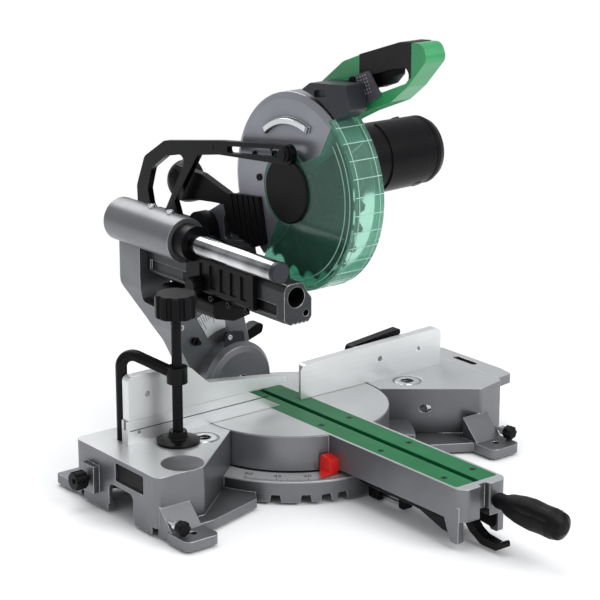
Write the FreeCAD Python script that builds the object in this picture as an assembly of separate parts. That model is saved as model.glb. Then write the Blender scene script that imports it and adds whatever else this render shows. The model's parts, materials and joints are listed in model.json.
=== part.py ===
import FreeCAD, Part
import math
import os

# Sliding miter saw, 216 mm blade, head raised, all angles at zero.
# Millimetres, +Z up, front of the saw at -Y.
# Origin: on the bench, on the turntable's axis, in the plane of the fence faces.

V = FreeCAD.Vector
X_AXIS = V(1, 0, 0)
Y_AXIS = V(0, 1, 0)
Z_AXIS = V(0, 0, 1)

# ---- clearances -------------------------------------------------------------------------------------
gap = 0.3                 # free gap between pieces that move past each other
pin_play = 0.05           # radial play of a pin or shaft in its bore

# ---- table and base ---------------------------------------------------------------------------------
table_z = 71.5            # height of the work surface over the bench
turntable_r = 118.0
turntable_rim_z = 29.5    # lower edge of the turntable's rim
deck_z = 28.0             # top of the ring that carries the miter scale
scale_t = 1.0
ring_reach = 32.0          # how far the scale ring stands out past the turntable
ring_r = turntable_r + ring_reach
ring_wall = 6.0
ring_foot_z = 3.0
foot_h = 3.0
wing_wall = 5.0
wing_top_t = 7.0
wing_bottom_z = 12.0
wing_left_x = -269.0
wing_right_x = 258.0
wing_front_y = -107.0
wing_rear_y = 58.0
miter_max_right = 50.0
miter_max_left = 45.0
boss_r = 24.0
vise_hole_r = 8.0
holder_sweep_r = 172.0     # the hinge neck and the holder pass inside this radius behind the table
detent_stops = [0, 15, 22.5, 31.6, 45]
notch_z = 12.0
hub_z = 22.0              # joint between the base's centre boss and the turntable's hub
pivot_bolt_r = 6.0
pivot_bolt_z = 6.0
pivot_head_z = 45.0      # seat of the bolt's head in the turntable's hub

# ---- turntable arm ----------------------------------------------------------------------------------
arm_half_w = 33.6
arm_front_y = -340.0
arm_wall = 4.0
arm_bottom_z = 34.0
insert_half_w = 30.6
insert_front_y = arm_front_y + 14
insert_rear_y = 62.0
insert_t = 4.0
kerf_half_w = 4.0
handle_axis_x = 14.0
handle_axis_z = 52.0

# ---- fences -----------------------------------------------------------------------------------------
fence_t = 12.0
fence_low_h = 27.5
fence_left_x = -235.0
fence_top_z = 151.5       # top of the sliding fence
fence_nose_x = -5.0
fence_right_x0 = 14.6
fence_right_x1 = 240.5
fence_right_h0 = 43.0
fence_right_h1 = 49.0
fence_lift = 0.4          # the fences stand this far off the turntable
tongue_t = 4.0
tongue_h = 11.0
fence_clamp_x = -178.0

# ---- bevel hinge and holder -------------------------------------------------------------------------
dome_r = 50.0
dome_y0 = 99.0
dome_y1 = 125.0
holder_y1 = 160.0
hinge_pin_r = 9.0
holder_disc_r = table_z - deck_z - 1.0
pole_x = -90.0
pole_z = 270.0
pole_r = 12.35
pole_front_y = -90.0
pole_rear_y = 216.0
pole_boss_r = 27.0
pole_boss_y0 = 86.3
pole_boss_y1 = 222.0
rail_x0 = -84.0
rail_x1 = -45.0
rail_z0 = 206.0
rail_z1 = 254.0
rail_front_y = -95.0
rail_rear_y = 214.0
rail_bore_r = 12.0
bracket_y = 178.0         # front face of the holder's upper bracket

# ---- carriage and head hinge ------------------------------------------------------------------------
head_y = 150.0            # head pivot, the axis lies along X
head_z = 258.0
head_pin_r = 10.0
lug_left = (-27.0, -12.0)
lug_right = (22.0, 37.0)
hub_half = (-11.7, 21.7)
link_y = 250.0            # rear pivot of the guard link
link_z = 255.0
link_pin_r = 5.0
link_x0 = -36.2
link_x1 = -28.2

# ---- blade, gears, motor ----------------------------------------------------------------------------
blade_y = -25.0
blade_z = 342.0
blade_r = 108.0
blade_body_t = 1.4
blade_bore_r = 15.0
blade_teeth = 24
arbor_r = 6.0
gear_module = 1.0
gear_teeth = 44
pinion_teeth = 13
gear_backlash = 0.3
motor_bearing = 29.2      # direction of the motor axis seen from the blade axis, degrees
motor_r = 43.0
motor_x0 = 62.0
motor_x1 = 210.0
motor_wall = 3.0

# ---- guards -----------------------------------------------------------------------------------------
upper_clearance = 4.5      # from the blade's tips to the upper guard's outer face
upper_r = blade_r + upper_clearance
upper_wall = 2.5
upper_x0 = -17.0
upper_x1 = 17.0
lower_step = 5.5           # the clear guard runs this far outside the upper guard
lower_r = upper_r + lower_step
lower_wall = 3.0
lower_x0 = -24.0
lower_x1 = 22.0
lower_phi0 = 128.0        # guard sector, degrees from the rear over the top
lower_phi1 = 297.0
cover_r = 39.0
elbow_r = 27.0
elbow_y = 205.0
elbow_z = 308.0
trigger_travel = 4.0
trigger_pull = (0.299, 0.954)   # direction of the trigger's travel, as y and z parts


# ---- shape helpers ----------------------------------------------------------------------------------
def box(x0, x1, y0, y1, z0, z1):
    return Part.makeBox(x1 - x0, y1 - y0, z1 - z0, V(x0, y0, z0))


def rod(x, y, z, r, length, axis=Z_AXIS):
    return Part.makeCylinder(r, length, V(x, y, z), axis)


def ring(x, y, z, r_out, r_in, length, axis=Z_AXIS):
    return rod(x, y, z, r_out, length, axis).cut(rod(x, y, z, r_in, length, axis))


def hexagon(x, y, z, across, height, axis=Z_AXIS):
    r = across / math.sqrt(3)
    points = [(r * math.cos(math.radians(60 * i)), r * math.sin(math.radians(60 * i))) for i in range(6)]
    solid = face_of(points, "z", 0).extrude(V(0, 0, height))
    turn = FreeCAD.Rotation(Z_AXIS, axis)
    solid.Placement = FreeCAD.Placement(V(x, y, z), turn)
    return solid


def place(a, b, axis, at):
    """A point of an outline drawn across the named axis."""
    if axis == "x":
        return V(at, a, b)
    if axis == "y":
        return V(a, at, b)
    return V(a, b, at)


def face_of(points, axis, at, radius=0.0):
    """A face with straight sides and rounded corners. A third value is a corner's own radius."""
    corners = []
    count = len(points)
    for i in range(count):
        a, b = points[i][0], points[i][1]
        r = points[i][2] if len(points[i]) > 2 else radius
        pa, pb = points[i - 1][0] - a, points[i - 1][1] - b
        na, nb = points[(i + 1) % count][0] - a, points[(i + 1) % count][1] - b
        lp, ln = math.hypot(pa, pb), math.hypot(na, nb)
        half = math.acos(max(-1, min(1, (pa * na + pb * nb) / lp / ln))) / 2
        if r <= 0 or half > math.radians(89):
            corners.append([(a, b)])
            continue
        back = r / math.tan(half)
        ma, mb = pa / lp + na / ln, pb / lp + nb / ln
        reach = r / math.sin(half) - r
        lm = math.hypot(ma, mb)
        corners.append([(a + pa / lp * back, b + pb / lp * back),
                        (a + ma / lm * reach, b + mb / lm * reach),
                        (a + na / ln * back, b + nb / ln * back)])
    edges = []
    for i in range(count):
        here = corners[i]
        if len(here) == 3:
            edges.append(Part.Arc(*[place(p[0], p[1], axis, at) for p in here]).toShape())
        end, start = here[-1], corners[(i + 1) % count][0]
        if math.hypot(end[0] - start[0], end[1] - start[1]) > 1e-6:
            edges.append(Part.makeLine(place(*end, axis, at), place(*start, axis, at)))
    return Part.Face(Part.Wire(edges))


def slab(points, axis, start, end, radius=0.0):
    """An outline drawn across the axis and extruded from start to end."""
    direction = {"x": X_AXIS, "y": Y_AXIS, "z": Z_AXIS}[axis]
    return face_of(points, axis, start, radius).extrude(direction * (end - start))


def sector(profile, phi0, phi1, cy=blade_y, cz=blade_z):
    """A profile of (x, radius) points turned about the X axis through cy, cz from phi0 to phi1 degrees."""
    c, s = math.cos(math.radians(phi0)), math.sin(math.radians(phi0))
    points = [V(x, cy + r * c, cz + r * s) for x, r in profile]
    face = Part.Face(Part.makePolygon(points + points[:1]))
    return face.revolve(V(0, cy, cz), X_AXIS, phi1 - phi0)


def turned(profile, x, y, z, axis):
    """A solid of revolution from (radius, distance along the axis) points."""
    points = [V(r, 0, h) for r, h in profile]
    solid = Part.Face(Part.makePolygon(points + points[:1])).revolve(V(0, 0, 0), Z_AXIS, 360)
    solid.Placement = FreeCAD.Placement(V(x, y, z), FreeCAD.Rotation(Z_AXIS, axis))
    return solid


def join(*shapes):
    result = shapes[0].multiFuse(list(shapes[1:]))
    return result.removeSplitter()


def pipe(points, radius, bend):
    """A round bar through the points, its corners bent to the given radius."""
    edges = []
    start = points[0]
    for before, here, after in zip(points, points[1:], points[2:]):
        u = (before - here).normalize()
        w = (after - here).normalize()
        half = u.getAngle(w) / 2
        back = bend / math.tan(half)
        middle = here + (u + w).normalize() * (bend / math.sin(half) - bend)
        edges.append(Part.makeLine(start, here + u * back))
        edges.append(Part.Arc(here + u * back, middle, here + w * back).toShape())
        start = here + w * back
    edges.append(Part.makeLine(start, points[-1]))
    wire = Part.Wire(edges)
    circle = Part.Wire(Part.makeCircle(radius, points[0], points[1] - points[0]))
    return wire.makePipeShell([circle], True, False)


def fluted(x, y, z, r, height, flutes, depth, axis=Z_AXIS):
    """A round knob with grip flutes, standing on x, y, z along the axis."""
    knob = turned([(0, 0), (r - 1.5, 0), (r, 1.5), (r, height - 2), (r - 2, height), (0, height)], 0, 0, 0,
                  Z_AXIS)
    cuts = []
    for i in range(flutes):
        a = math.radians(360 / flutes * i)
        cuts.append(rod(r * math.cos(a), r * math.sin(a), -1, depth, height + 2))
    knob = knob.cut(cuts[0].multiFuse(cuts[1:]))
    knob.Placement = FreeCAD.Placement(V(x, y, z), FreeCAD.Rotation(Z_AXIS, axis))
    return knob


def polar(r, degrees, cy=blade_y, cz=blade_z):
    """The (y, z) point at a radius and an angle from the rear over the top."""
    return cy + r * math.cos(math.radians(degrees)), cz + r * math.sin(math.radians(degrees))


nodes = {}


def node(name, *solids):
    nodes[name] = solids[0] if len(solids) == 1 else Part.makeCompound(list(solids))


# ---- base -------------------------------------------------------------------------------------------
wing_left = [(-112, -30), (-206, wing_front_y, 6), (wing_left_x, wing_front_y, 8),
             (wing_left_x, wing_rear_y, 8),
             (-96, wing_rear_y), (-90, 40)]
wing_right = [(108, -20), (214, wing_front_y + 2, 6), (wing_right_x, wing_front_y + 12, 6),
              (wing_right_x, wing_rear_y, 8), (96, wing_rear_y), (90, 40)]
fence_bolt_left = [-207.0, -151.0]
fence_bolt_right = [150.0, 205.0]
fence_foot_y = 34.0       # rear edge of the fences' feet
fence_foot_t = 7.0
vise_hole_left = (-152.0, -32.0)
vise_hole_right = (164.0, -24.0)
vise_post = (-228.0, 21.0)
vise_rod_r = 6.75
bench_holes = [(-246.0, -141.0), (206.0, -141.0), (-246.0, 84.0), (206.0, 84.0)]
bench_hole_r = 4.5
scoop_xy = (-219.0, -84.0)
scoop_r = 62.0
scoop_depth = 5.0
lug_t = 11.0


def inset(points, d):
    """The outline moved in by d on every side, its corners square."""
    cx = sum(p[0] for p in points) / len(points)
    cy = sum(p[1] for p in points) / len(points)
    wire = Part.makePolygon([V(p[0], p[1], 0) for p in points] + [V(points[0][0], points[0][1], 0)])
    inner = wire.makeOffset2D(-d)
    if inner.BoundBox.XLength > wire.BoundBox.XLength:
        inner = wire.makeOffset2D(d)
    return inner, (cx, cy)


def wing(points):
    """A hollow table wing: top plate, outer walls and two cross ribs, cut clear of the turntable."""
    solid = slab(points, "z", wing_bottom_z, table_z)
    pocket, centre = inset(points, wing_wall)
    pocket.translate(V(0, 0, wing_bottom_z - 1))
    hollow = Part.Face(pocket).extrude(V(0, 0, table_z - wing_top_t - wing_bottom_z + 1))
    for x in (centre[0] - 28, centre[0] + 28):
        hollow = hollow.cut(box(x - 2, x + 2, -200, 200, 0, table_z))
    hollow = hollow.cut(rod(0, 0, 0, turntable_r + wing_wall + 1.5, table_z))
    return solid.cut(hollow)


def foot(x, y, toward_x, toward_y):
    """A bench lug with a bolt hole and the sloping leg that joins it to the wing."""
    width = 22.0
    pad = slab([(x - width, y - 20, 8), (x + width, y - 20, 8), (x + width, y + 20, 4),
                (x - width, y + 20, 4)],
               "z", foot_h, foot_h + lug_t)
    leg_front = y + (12 if toward_y > y else -12)
    leg = slab([(leg_front, foot_h), (leg_front, foot_h + lug_t), (toward_y, 40), (toward_y, foot_h)],
               "x", x - width + 2, x + width - 2)
    hollow = slab([(leg_front, 0), (leg_front, foot_h + lug_t - 4), (toward_y, 32), (toward_y, 0)],
                  "x", x - width + 7, x + width - 7)
    return pad.fuse(leg.cut(hollow)).cut(rod(x, y, 0, bench_hole_r, 60)).cut(
        rod(x, y, foot_h + lug_t, bench_hole_r * 2.2, 60))


def base_casting():
    wall = ring(0, 0, ring_foot_z, ring_r, ring_r - ring_wall, deck_z - scale_t - ring_foot_z)
    deck = ring(0, 0, deck_z - scale_t - 5, ring_r, 112, 5)
    body = [wall, deck, rod(0, 0, 0, boss_r, hub_z)]
    rib_r = ring_r - ring_wall + 1
    for i in range(8):
        rib = box(boss_r - 4, rib_r, -3.5, 3.5, 8, 19)
        rib.rotate(V(0, 0, 0), Z_AXIS, 22.5 + 45 * i)
        body.append(rib)
        web = box(112, rib_r, -3.5, 3.5, 8, deck_z - scale_t - 1)
        web.rotate(V(0, 0, 0), Z_AXIS, 22.5 + 45 * i)
        body.append(web)
    casting = body[0].multiFuse(body[1:])
    # detent notches in the lower edge of the ring's wall
    for angle in detent_stops + [-a for a in detent_stops if a]:
        notch = slab([(-7.5, 0), (-5, notch_z, 1), (5, notch_z, 1), (7.5, 0)], "y", -ring_r - 1,
                     -ring_r + ring_wall + 1)
        notch.rotate(V(0, 0, 0), Z_AXIS, angle)
        casting = casting.cut(notch)
    wings = wing(wing_left).fuse(wing(wing_right))
    wings = wings.cut(rod(0, 0, 0, ring_r - 1, deck_z - scale_t - 1))
    wings = wings.cut(rod(0, 0, deck_z - scale_t - 1.01, turntable_r + 1.5, 100))
    feet = [foot(x, y, x, wing_front_y + 4 if y < 0 else wing_rear_y - 4) for x, y in bench_holes]
    # legs under the left end wall and the low flanges between the ring and the front feet
    legs = [box(wing_left_x, wing_left_x + 9, y0, y1, foot_h, wing_bottom_z + 1)
            for y0, y1 in ((-7, 42), (-95, -61))]
    flanges = [slab([(112, -70), (140, -50), (212, -100), (226, -125), (184, -125), (138, -98)], "z",
                    foot_h, foot_h + lug_t),
               slab([(-112, -74), (-136, -52), (-204, -100), (-250, -125), (-206, -125), (-132, -105)], "z",
                    foot_h, foot_h + lug_t)]
    casting = casting.multiFuse([wings] + feet + legs + flanges)
    casting = casting.cut(neck_sweep())
    for x, y in (vise_hole_left, vise_hole_right):
        casting = casting.fuse(
                rod(x, y, table_z - 34, vise_hole_r + 6, 33).cut(rod(0, 0, 0, turntable_r + 1.5, 100)))
        casting = casting.cut(rod(x, y, table_z - 36, vise_hole_r, 60))
        casting = casting.cut(
                turned([(0, 0), (vise_hole_r, 0), (20, 3), (20, 6), (0, 6)], x, y, table_z - 3, Z_AXIS))
    px, py = vise_post
    casting = casting.fuse(rod(px, py, 16, vise_rod_r + 8, table_z - 17))
    casting = casting.cut(rod(px, py, 22, vise_rod_r + pin_play, 80))
    # side block with the clamp screw's bore
    casting = casting.fuse(box(wing_left_x - 8, px - vise_rod_r - 2, py - 12, py + 12, 20, 52))
    casting = casting.cut(rod(wing_left_x - 10, py, 36, 3 + pin_play, 60, X_AXIS).cut(
        rod(px, py, 0, vise_rod_r + pin_play, 100)))
    for x in fence_bolt_left + fence_bolt_right:
        casting = casting.fuse(rod(x, 24, table_z - 24, 8, 23))
        casting = casting.cut(rod(x, 24, table_z - 18, 3, 40))
    # blind bore for the pivot bolt
    casting = casting.cut(rod(0, 0, pivot_bolt_z - gap, pivot_bolt_r + pin_play, 60))
    # long recess and arch in the left end wall, between two legs, and the scoop in the wing's top
    casting = casting.cut(slab([(-80, 44, 3), (-24, 44, 3), (-24, 66, 3), (-80, 66, 3)], "x",
                               wing_left_x - 1, wing_left_x + 3))
    casting = casting.cut(slab([(-59, 0), (-59, 38, 8), (-10, 38, 8), (-10, 0)], "x", wing_left_x - 1,
                               wing_left_x + wing_wall + 1))
    scoop = Part.makeSphere(scoop_r, V(*scoop_xy, table_z + scoop_r - scoop_depth))
    casting = casting.cut(scoop)
    # the two runners' bores in the right end wall
    for y in extension_rails:
        casting = casting.cut(rod(150, y, extension_z, extension_rod_r + pin_play, 150, X_AXIS))
    return casting.removeSplitter()


def neck_sweep():
    """Space behind the table that the hinge neck and the holder pass through between the miter limits."""
    far = holder_sweep_r / math.cos(math.radians(30))
    spread = math.degrees(math.asin(dome_r / (turntable_r + 1.5))) + 1.5
    left, right = miter_max_right + spread, miter_max_left + spread
    count = 8
    points = [(0, 0)]
    for i in range(count + 1):
        a = math.radians(90 - right + (left + right) * i / count)
        points.append((far * math.cos(a), far * math.sin(a)))
    disc = rod(0, 0, deck_z - scale_t - 0.01, holder_sweep_r, 100)
    return slab(points, "z", deck_z - scale_t - 0.01, table_z + 20).common(disc)



# ---- right table extension --------------------------------------------------------------------------
extension_rails = [-62.0, 22.0]
extension_z = 46.0
extension_rod_r = 5.0
extension_t = 30.0


def extension_wing():
    x0 = wing_right_x + gap
    x1 = x0 + extension_t
    top = slab([(x0, -88), (x1 - 4, -84, 4), (x1, -60, 4), (x1, 50, 4), (x0, 50)], "z", table_z - 12, table_z)
    apron = slab([(-84, table_z), (-84, 30, 6), (-50, 28, 6), (10, 28, 6), (48, 30, 6), (48, table_z)], "x",
                 x0, x0 + 6)
    body = top.fuse(apron)
    for y in extension_rails:
        body = body.fuse(rod(x0, y, extension_z, 9, 18, X_AXIS))
        body = body.cut(rod(x0 - 1, y, extension_z, extension_rod_r, 15, X_AXIS))
    # finger slot through the top plate
    return body.cut(slab([(x0 + 12, -30, 4), (x0 + 21, -30, 4), (x0 + 21, 10, 4), (x0 + 12, 10, 4)],
                         "z", table_z - 20, table_z + 1))


def build_base():
    node("base_casting", base_casting())
    node("miter_scale_ring", ring(0, 0, deck_z - scale_t, ring_r - 1, turntable_r + 2.5, scale_t).cut(
        slab([(-400, -10), (400, -10), (400, 400), (-400, 400)], "z", 0, 100)).cut(
        wing_shadow()))
    feet = []
    for x, y in bench_holes:
        feet.append(ring(x, y, 0, 14, bench_hole_r + 2, foot_h))
    node("rubber_feet", *feet)
    node("extension_wing", extension_wing())
    rods = [rod(extension_start, y, extension_z, extension_rod_r, wing_right_x + 14 - extension_start, X_AXIS)
            for y in extension_rails]
    node("extension_rods", *rods)


extension_start = 160.0


def wing_shadow():
    """Both wings' plan outlines grown a little, to trim the scale ring to its open part."""
    return slab([(p[0] - 0.5, p[1] - 0.5) for p in wing_left], "z", 0, 100).fuse(
        slab([(p[0] + 0.5, p[1] - 0.5) for p in wing_right], "z", 0, 100))


# ---- fences -----------------------------------------------------------------------------------------
def fence_clearance():
    """Space kept free over the turntable and where the blade passes between the fences at full miter."""
    over_table = rod(0, 0, table_z - 1, turntable_r + 3, 1 + fence_lift)
    left = slab([(-1.5, -1), (fence_nose_x, -1), (fence_nose_x - 1, 0), (fence_nose_x - 20.5, fence_t + 1),
                 (-1.5, fence_t + 1)], "z", table_z, table_z + 120)
    right = slab([(1.5, -1), (fence_right_x0, -1), (fence_right_x0, 0), (fence_right_x0 + 7, fence_t + 1),
                  (1.5, fence_t + 1)], "z", table_z, table_z + 120)
    return over_table.fuse(left).fuse(right)


def left_fence():
    top = table_z + fence_low_h
    plate = slab([(fence_left_x, table_z), (-16, table_z), (-64, top), (fence_left_x, top)], "y", 0, fence_t)
    foot = box(fence_left_x + 18, -142, fence_t - 1, fence_foot_y, table_z, table_z + fence_foot_t)
    body = plate.fuse(foot)
    for x in (fence_left_x + 40, -163):
        rib = slab([(fence_t - 1, table_z), (fence_foot_y - 2, table_z), (fence_t - 1, top - 5)], "x",
                   x - 2.5, x + 2.5)
        body = body.fuse(rib)
    groove = box(fence_left_x - 1, -30, 6 - tongue_t / 2 - gap, 6 + tongue_t / 2 + gap,
                 top - tongue_h - gap, top + 1)
    body = body.cut(groove)
    for x in fence_bolt_left:
        body = body.cut(rod(x, 24, table_z - 1, 3.3, 40))
    body = body.cut(rod(fence_left_x + 16, -1, table_z + 12, 2.6, fence_t + 2, Y_AXIS))
    body = body.cut(rod(fence_clamp_x, fence_t - 6 + tongue_t / 2, table_z + 21, 3 + pin_play, 20, Y_AXIS))
    return body.cut(fence_clearance())


def sliding_fence():
    z0 = table_z + fence_low_h + gap
    plate = slab([(fence_left_x + 2, z0), (fence_nose_x, z0, 1), (fence_nose_x, z0 + 8, 2), (-122, 123, 6),
                  (-146, fence_top_z - 6, 12), (-160, fence_top_z, 8), (fence_left_x + 2, fence_top_z, 6)],
                 "y", 0, fence_t)
    lightening = slab([(fence_left_x + 14, z0 + 8, 4), (-136, z0 + 8, 4), (-160, fence_top_z - 10, 6),
                       (fence_left_x + 14, fence_top_z - 8, 4)], "y", 5, fence_t + 1)
    tongue = box(fence_left_x + 8, -72, 6 - tongue_t / 2, 6 + tongue_t / 2, z0 - tongue_h, z0 + 1)
    body = plate.cut(lightening).fuse(tongue)
    body = body.cut(rod(-207, -1, 127, 3.4, 20, Y_AXIS))
    return body.cut(fence_clearance()).removeSplitter()


def right_fence():
    z0, z1 = table_z + fence_right_h0, table_z + fence_right_h1
    plate = slab([(fence_right_x0, table_z), (fence_right_x1, table_z), (fence_right_x1, z1, 9),
                  (fence_right_x0, z0, 9)], "y", 0, fence_t)
    foot = box(124, 222, fence_t - 1, fence_foot_y, table_z, table_z + fence_foot_t)
    body = plate.fuse(foot)
    for x in (135, 180, 217):
        rib = slab([(fence_t - 1, table_z), (fence_foot_y - 2, table_z), (fence_t - 1, z0 - 8)], "x",
                   x - 2.5, x + 2.5)
        body = body.fuse(rib)
    for x in fence_bolt_right:
        body = body.cut(rod(x, 24, table_z - 1, 3.3, 40))
    for x in fence_face_holes:
        body = body.cut(rod(x, -1, table_z + 27, 3.4, fence_t + 2, Y_AXIS))
    body = body.fuse(rod(lever_x, fence_t - 1, lever_z, 8, 5, Y_AXIS))
    body = body.cut(rod(lever_x, fence_t - 6, lever_z, 4, 12, Y_AXIS))
    return body.cut(fence_clearance())


fence_face_holes = [140.0, 203.0]
lever_x = 113.0
lever_z = 108.0


def build_fences():
    node("left_fence", left_fence())
    node("left_sliding_fence", sliding_fence())
    node("right_fence", right_fence())
    bolts = []
    for x in fence_bolt_left + fence_bolt_right:
        z = table_z + fence_foot_t
        bolts.append(rod(x, 24, z - 24, 3 - pin_play, 24).fuse(hexagon(x, 24, z, 10, 5)))
    node("fence_bolts", *bolts)
    # clamp screw of the sliding fence, with its knob behind the fixed fence
    z = table_z + 21
    screw = rod(fence_clamp_x, 6 + tongue_t / 2 + gap, z, 3, fence_t - 6 - tongue_t / 2 + 6, Y_AXIS)
    knob = fluted(fence_clamp_x, fence_t + 1, z, 9, 14, 8, 1.6, Y_AXIS)
    node("fence_clamp_knob", screw.fuse(knob))
    # long lever behind the right fence
    arm = slab([(lever_x - 8, lever_z - 8, 7.5), (lever_x + 8, lever_z - 8, 7.5),
                (lever_x + 74, lever_z + 10, 3),
                (lever_x + 74, lever_z + 17, 3), (lever_x - 6, lever_z + 9, 6)], "y", fence_t + 4 + gap,
               fence_t + 16)
    pin = rod(lever_x, fence_t - 5, lever_z, 4 - pin_play, 12, Y_AXIS)
    node("fence_lever", arm.fuse(pin))


# ---- work vise --------------------------------------------------------------------------------------
vise_screw = (-184.0, -26.0)
vise_collar_z0 = 143.0
vise_collar_z1 = 162.0
vise_screw_r = 6.0
vise_foot_r = 25.0
vise_foot_t = 6.0
vise_knob_r = 24.0
vise_knob_z = 221.0
vise_knob_h = 27.0


def build_vise():
    px, py = vise_post
    sx, sy = vise_screw
    elbow = V(px, py, 180)
    end = V(sx, sy, (vise_collar_z0 + vise_collar_z1) / 2)
    bar = pipe([V(px, py, 24), elbow, end], vise_rod_r, 14)
    collar = rod(sx, sy, vise_collar_z0, 12, vise_collar_z1 - vise_collar_z0)
    body = bar.fuse(collar).cut(rod(sx, sy, vise_collar_z0 - 1, vise_screw_r + pin_play, 60))
    node("vise_rod", body)
    foot_z = table_z + gap
    plate = turned([(0, 0), (vise_foot_r, 0), (vise_foot_r, 3), (12, vise_foot_t), (10, vise_foot_t + 8),
                    (4 + pin_play, vise_foot_t + 8), (4 + pin_play, 3), (0, 3)], sx, sy, foot_z, Z_AXIS)
    node("vise_foot", plate)
    shaft = rod(sx, sy, foot_z + 3 + pin_play, 4, vise_foot_t + 6)
    screw_z = foot_z + vise_foot_t + 8 + gap
    top_z = vise_knob_z + vise_knob_h - 8
    shaft = shaft.fuse(rod(sx, sy, screw_z, vise_screw_r, top_z - screw_z))
    knob = fluted(sx, sy, vise_knob_z, vise_knob_r, vise_knob_h, 10, 3.5).cut(
        rod(sx, sy, screw_z, vise_screw_r, top_z - screw_z))
    node("vise_screw", shaft, knob)
    # clamp screw of the rod, from the left end of the base
    tip = px - vise_rod_r - 0.1
    start = wing_left_x - 30
    shank = rod(start, py, 36, 3, tip - start, X_AXIS)
    node("vise_rod_knob", shank.fuse(fluted(start + 2, py, 36, 11, 16, 8, 1.8, X_AXIS)))


# ---- turntable --------------------------------------------------------------------------------------

def turntable():
    disc = turned([(0, table_z - 7), (turntable_r - 5, table_z - 7), (turntable_r - 5, turntable_rim_z),
                   (turntable_r, turntable_rim_z), (turntable_r, table_z - 1), (turntable_r - 1, table_z),
                   (0, table_z)], 0, 0, 0, Z_AXIS)
    hub = rod(0, 0, hub_z, boss_r, table_z - hub_z - 3)
    body = [disc, hub]
    for i in range(8):
        rib = box(boss_r - 2, turntable_r - 3, -2.5, 2.5, 40, table_z - 3)
        rib.rotate(V(0, 0, 0), Z_AXIS, 22.5 + 45 * i)
        body.append(rib)
    arm = slab([(-arm_half_w, -70), (-arm_half_w, arm_front_y, 12), (-7, arm_front_y, 3),
                (-5, arm_front_y + 7),
                (5, arm_front_y + 7), (7, arm_front_y, 3), (arm_half_w, arm_front_y, 12), (arm_half_w, -70)],
               "z", arm_bottom_z, table_z)
    body.append(arm)
    # corner legs at the arm's front end
    front = arm_front_y
    for side in (-1, 1):
        x0, x1 = sorted((side * arm_half_w, side * (arm_half_w - 8)))
        body.append(slab([(front + 6, 50), (front + 6, 8, 3), (front + 18, 8, 3), (front + 30, 36),
                          (front + 30, 50)], "x", x0, x1))
    # neck and hinge dome at the rear
    body.append(slab(
            [(-34, 90), (-46, dome_y0 + 2), (-46, dome_y1), (46, dome_y1), (46, dome_y0 + 2), (34, 90)],
                     "z", turntable_rim_z, table_z))
    dome = turned([(0, 0), (dome_r - 12, 0), (dome_r - 5, 2), (dome_r, 8), (dome_r, dome_y1 - dome_y0),
                   (0, dome_y1 - dome_y0)], 0, dome_y0, table_z, Y_AXIS)
    body.append(dome.common(box(-dome_r, dome_r, dome_y0, dome_y1, turntable_rim_z, table_z + dome_r)))
    casting = body[0].multiFuse(body[1:])
    # channel under the kerf plates, open to the front and below the disc
    inner = arm_half_w - arm_wall
    casting = casting.cut(box(-inner, inner, insert_front_y, -turntable_r + 8, arm_bottom_z - 1,
                              table_z - insert_t - 3))
    casting = casting.cut(box(-13, 13, insert_front_y + 6, insert_rear_y - 6, 52, table_z + 1))
    seat = slab([(-insert_half_w, insert_front_y, 4), (insert_half_w, insert_front_y, 4),
                 (insert_half_w, insert_rear_y, 4), (-insert_half_w, insert_rear_y, 4)], "z",
                table_z - insert_t, 90)
    casting = casting.cut(seat)
    casting = casting.cut(rod(0, 0, 0, pivot_bolt_r + pin_play, 200)).cut(rod(0, 0, pivot_head_z, 11.2, 20))
    # arch in the arm's front wall for the detent lever
    casting = casting.cut(box(-7.5, 7.5, arm_front_y - 1, insert_front_y + 1, arm_bottom_z - 1, 42))
    casting = casting.cut(rod(0, dome_y0 - 1, table_z, hinge_pin_r + pin_play, 60, Y_AXIS))
    casting = casting.cut(rod(handle_axis_x, arm_front_y - 1, handle_axis_z, 5 + pin_play, 30, Y_AXIS))
    for x, y in insert_screws:
        casting = casting.fuse(rod(x, y, table_z - insert_t - 9, 4.5, 9))
        casting = casting.cut(rod(x, y, table_z - insert_t - 8, 2, 9))
    return casting.removeSplitter()


insert_screws = [(side * 21.0, y) for side in (-1, 1) for y in (-296.0, -190.0, -84.0)]


def kerf_insert(side):
    x0, x1 = sorted((side * kerf_half_w, side * (insert_half_w - 0.1)))
    y0, y1 = insert_front_y + 0.1, insert_rear_y - 0.1
    if side < 0:
        outline = [(x0, y0, 3.9), (x1, y0), (x1, y1), (x0, y1, 3.9)]
    else:
        outline = [(x0, y0), (x1, y0, 3.9), (x1, y1, 3.9), (x0, y1)]
    plate = slab(outline, "z", table_z - insert_t, table_z)
    for x, y in insert_screws:
        if x * side > 0:
            plate = plate.cut(rod(x, y, 0, 2.2, 100))
            plate = plate.cut(
                    turned([(0, 0), (2.2, 0), (4.4, 2.2), (4.4, 3), (0, 3)], x, y, table_z - 2.2, Z_AXIS))
    return plate


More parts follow.
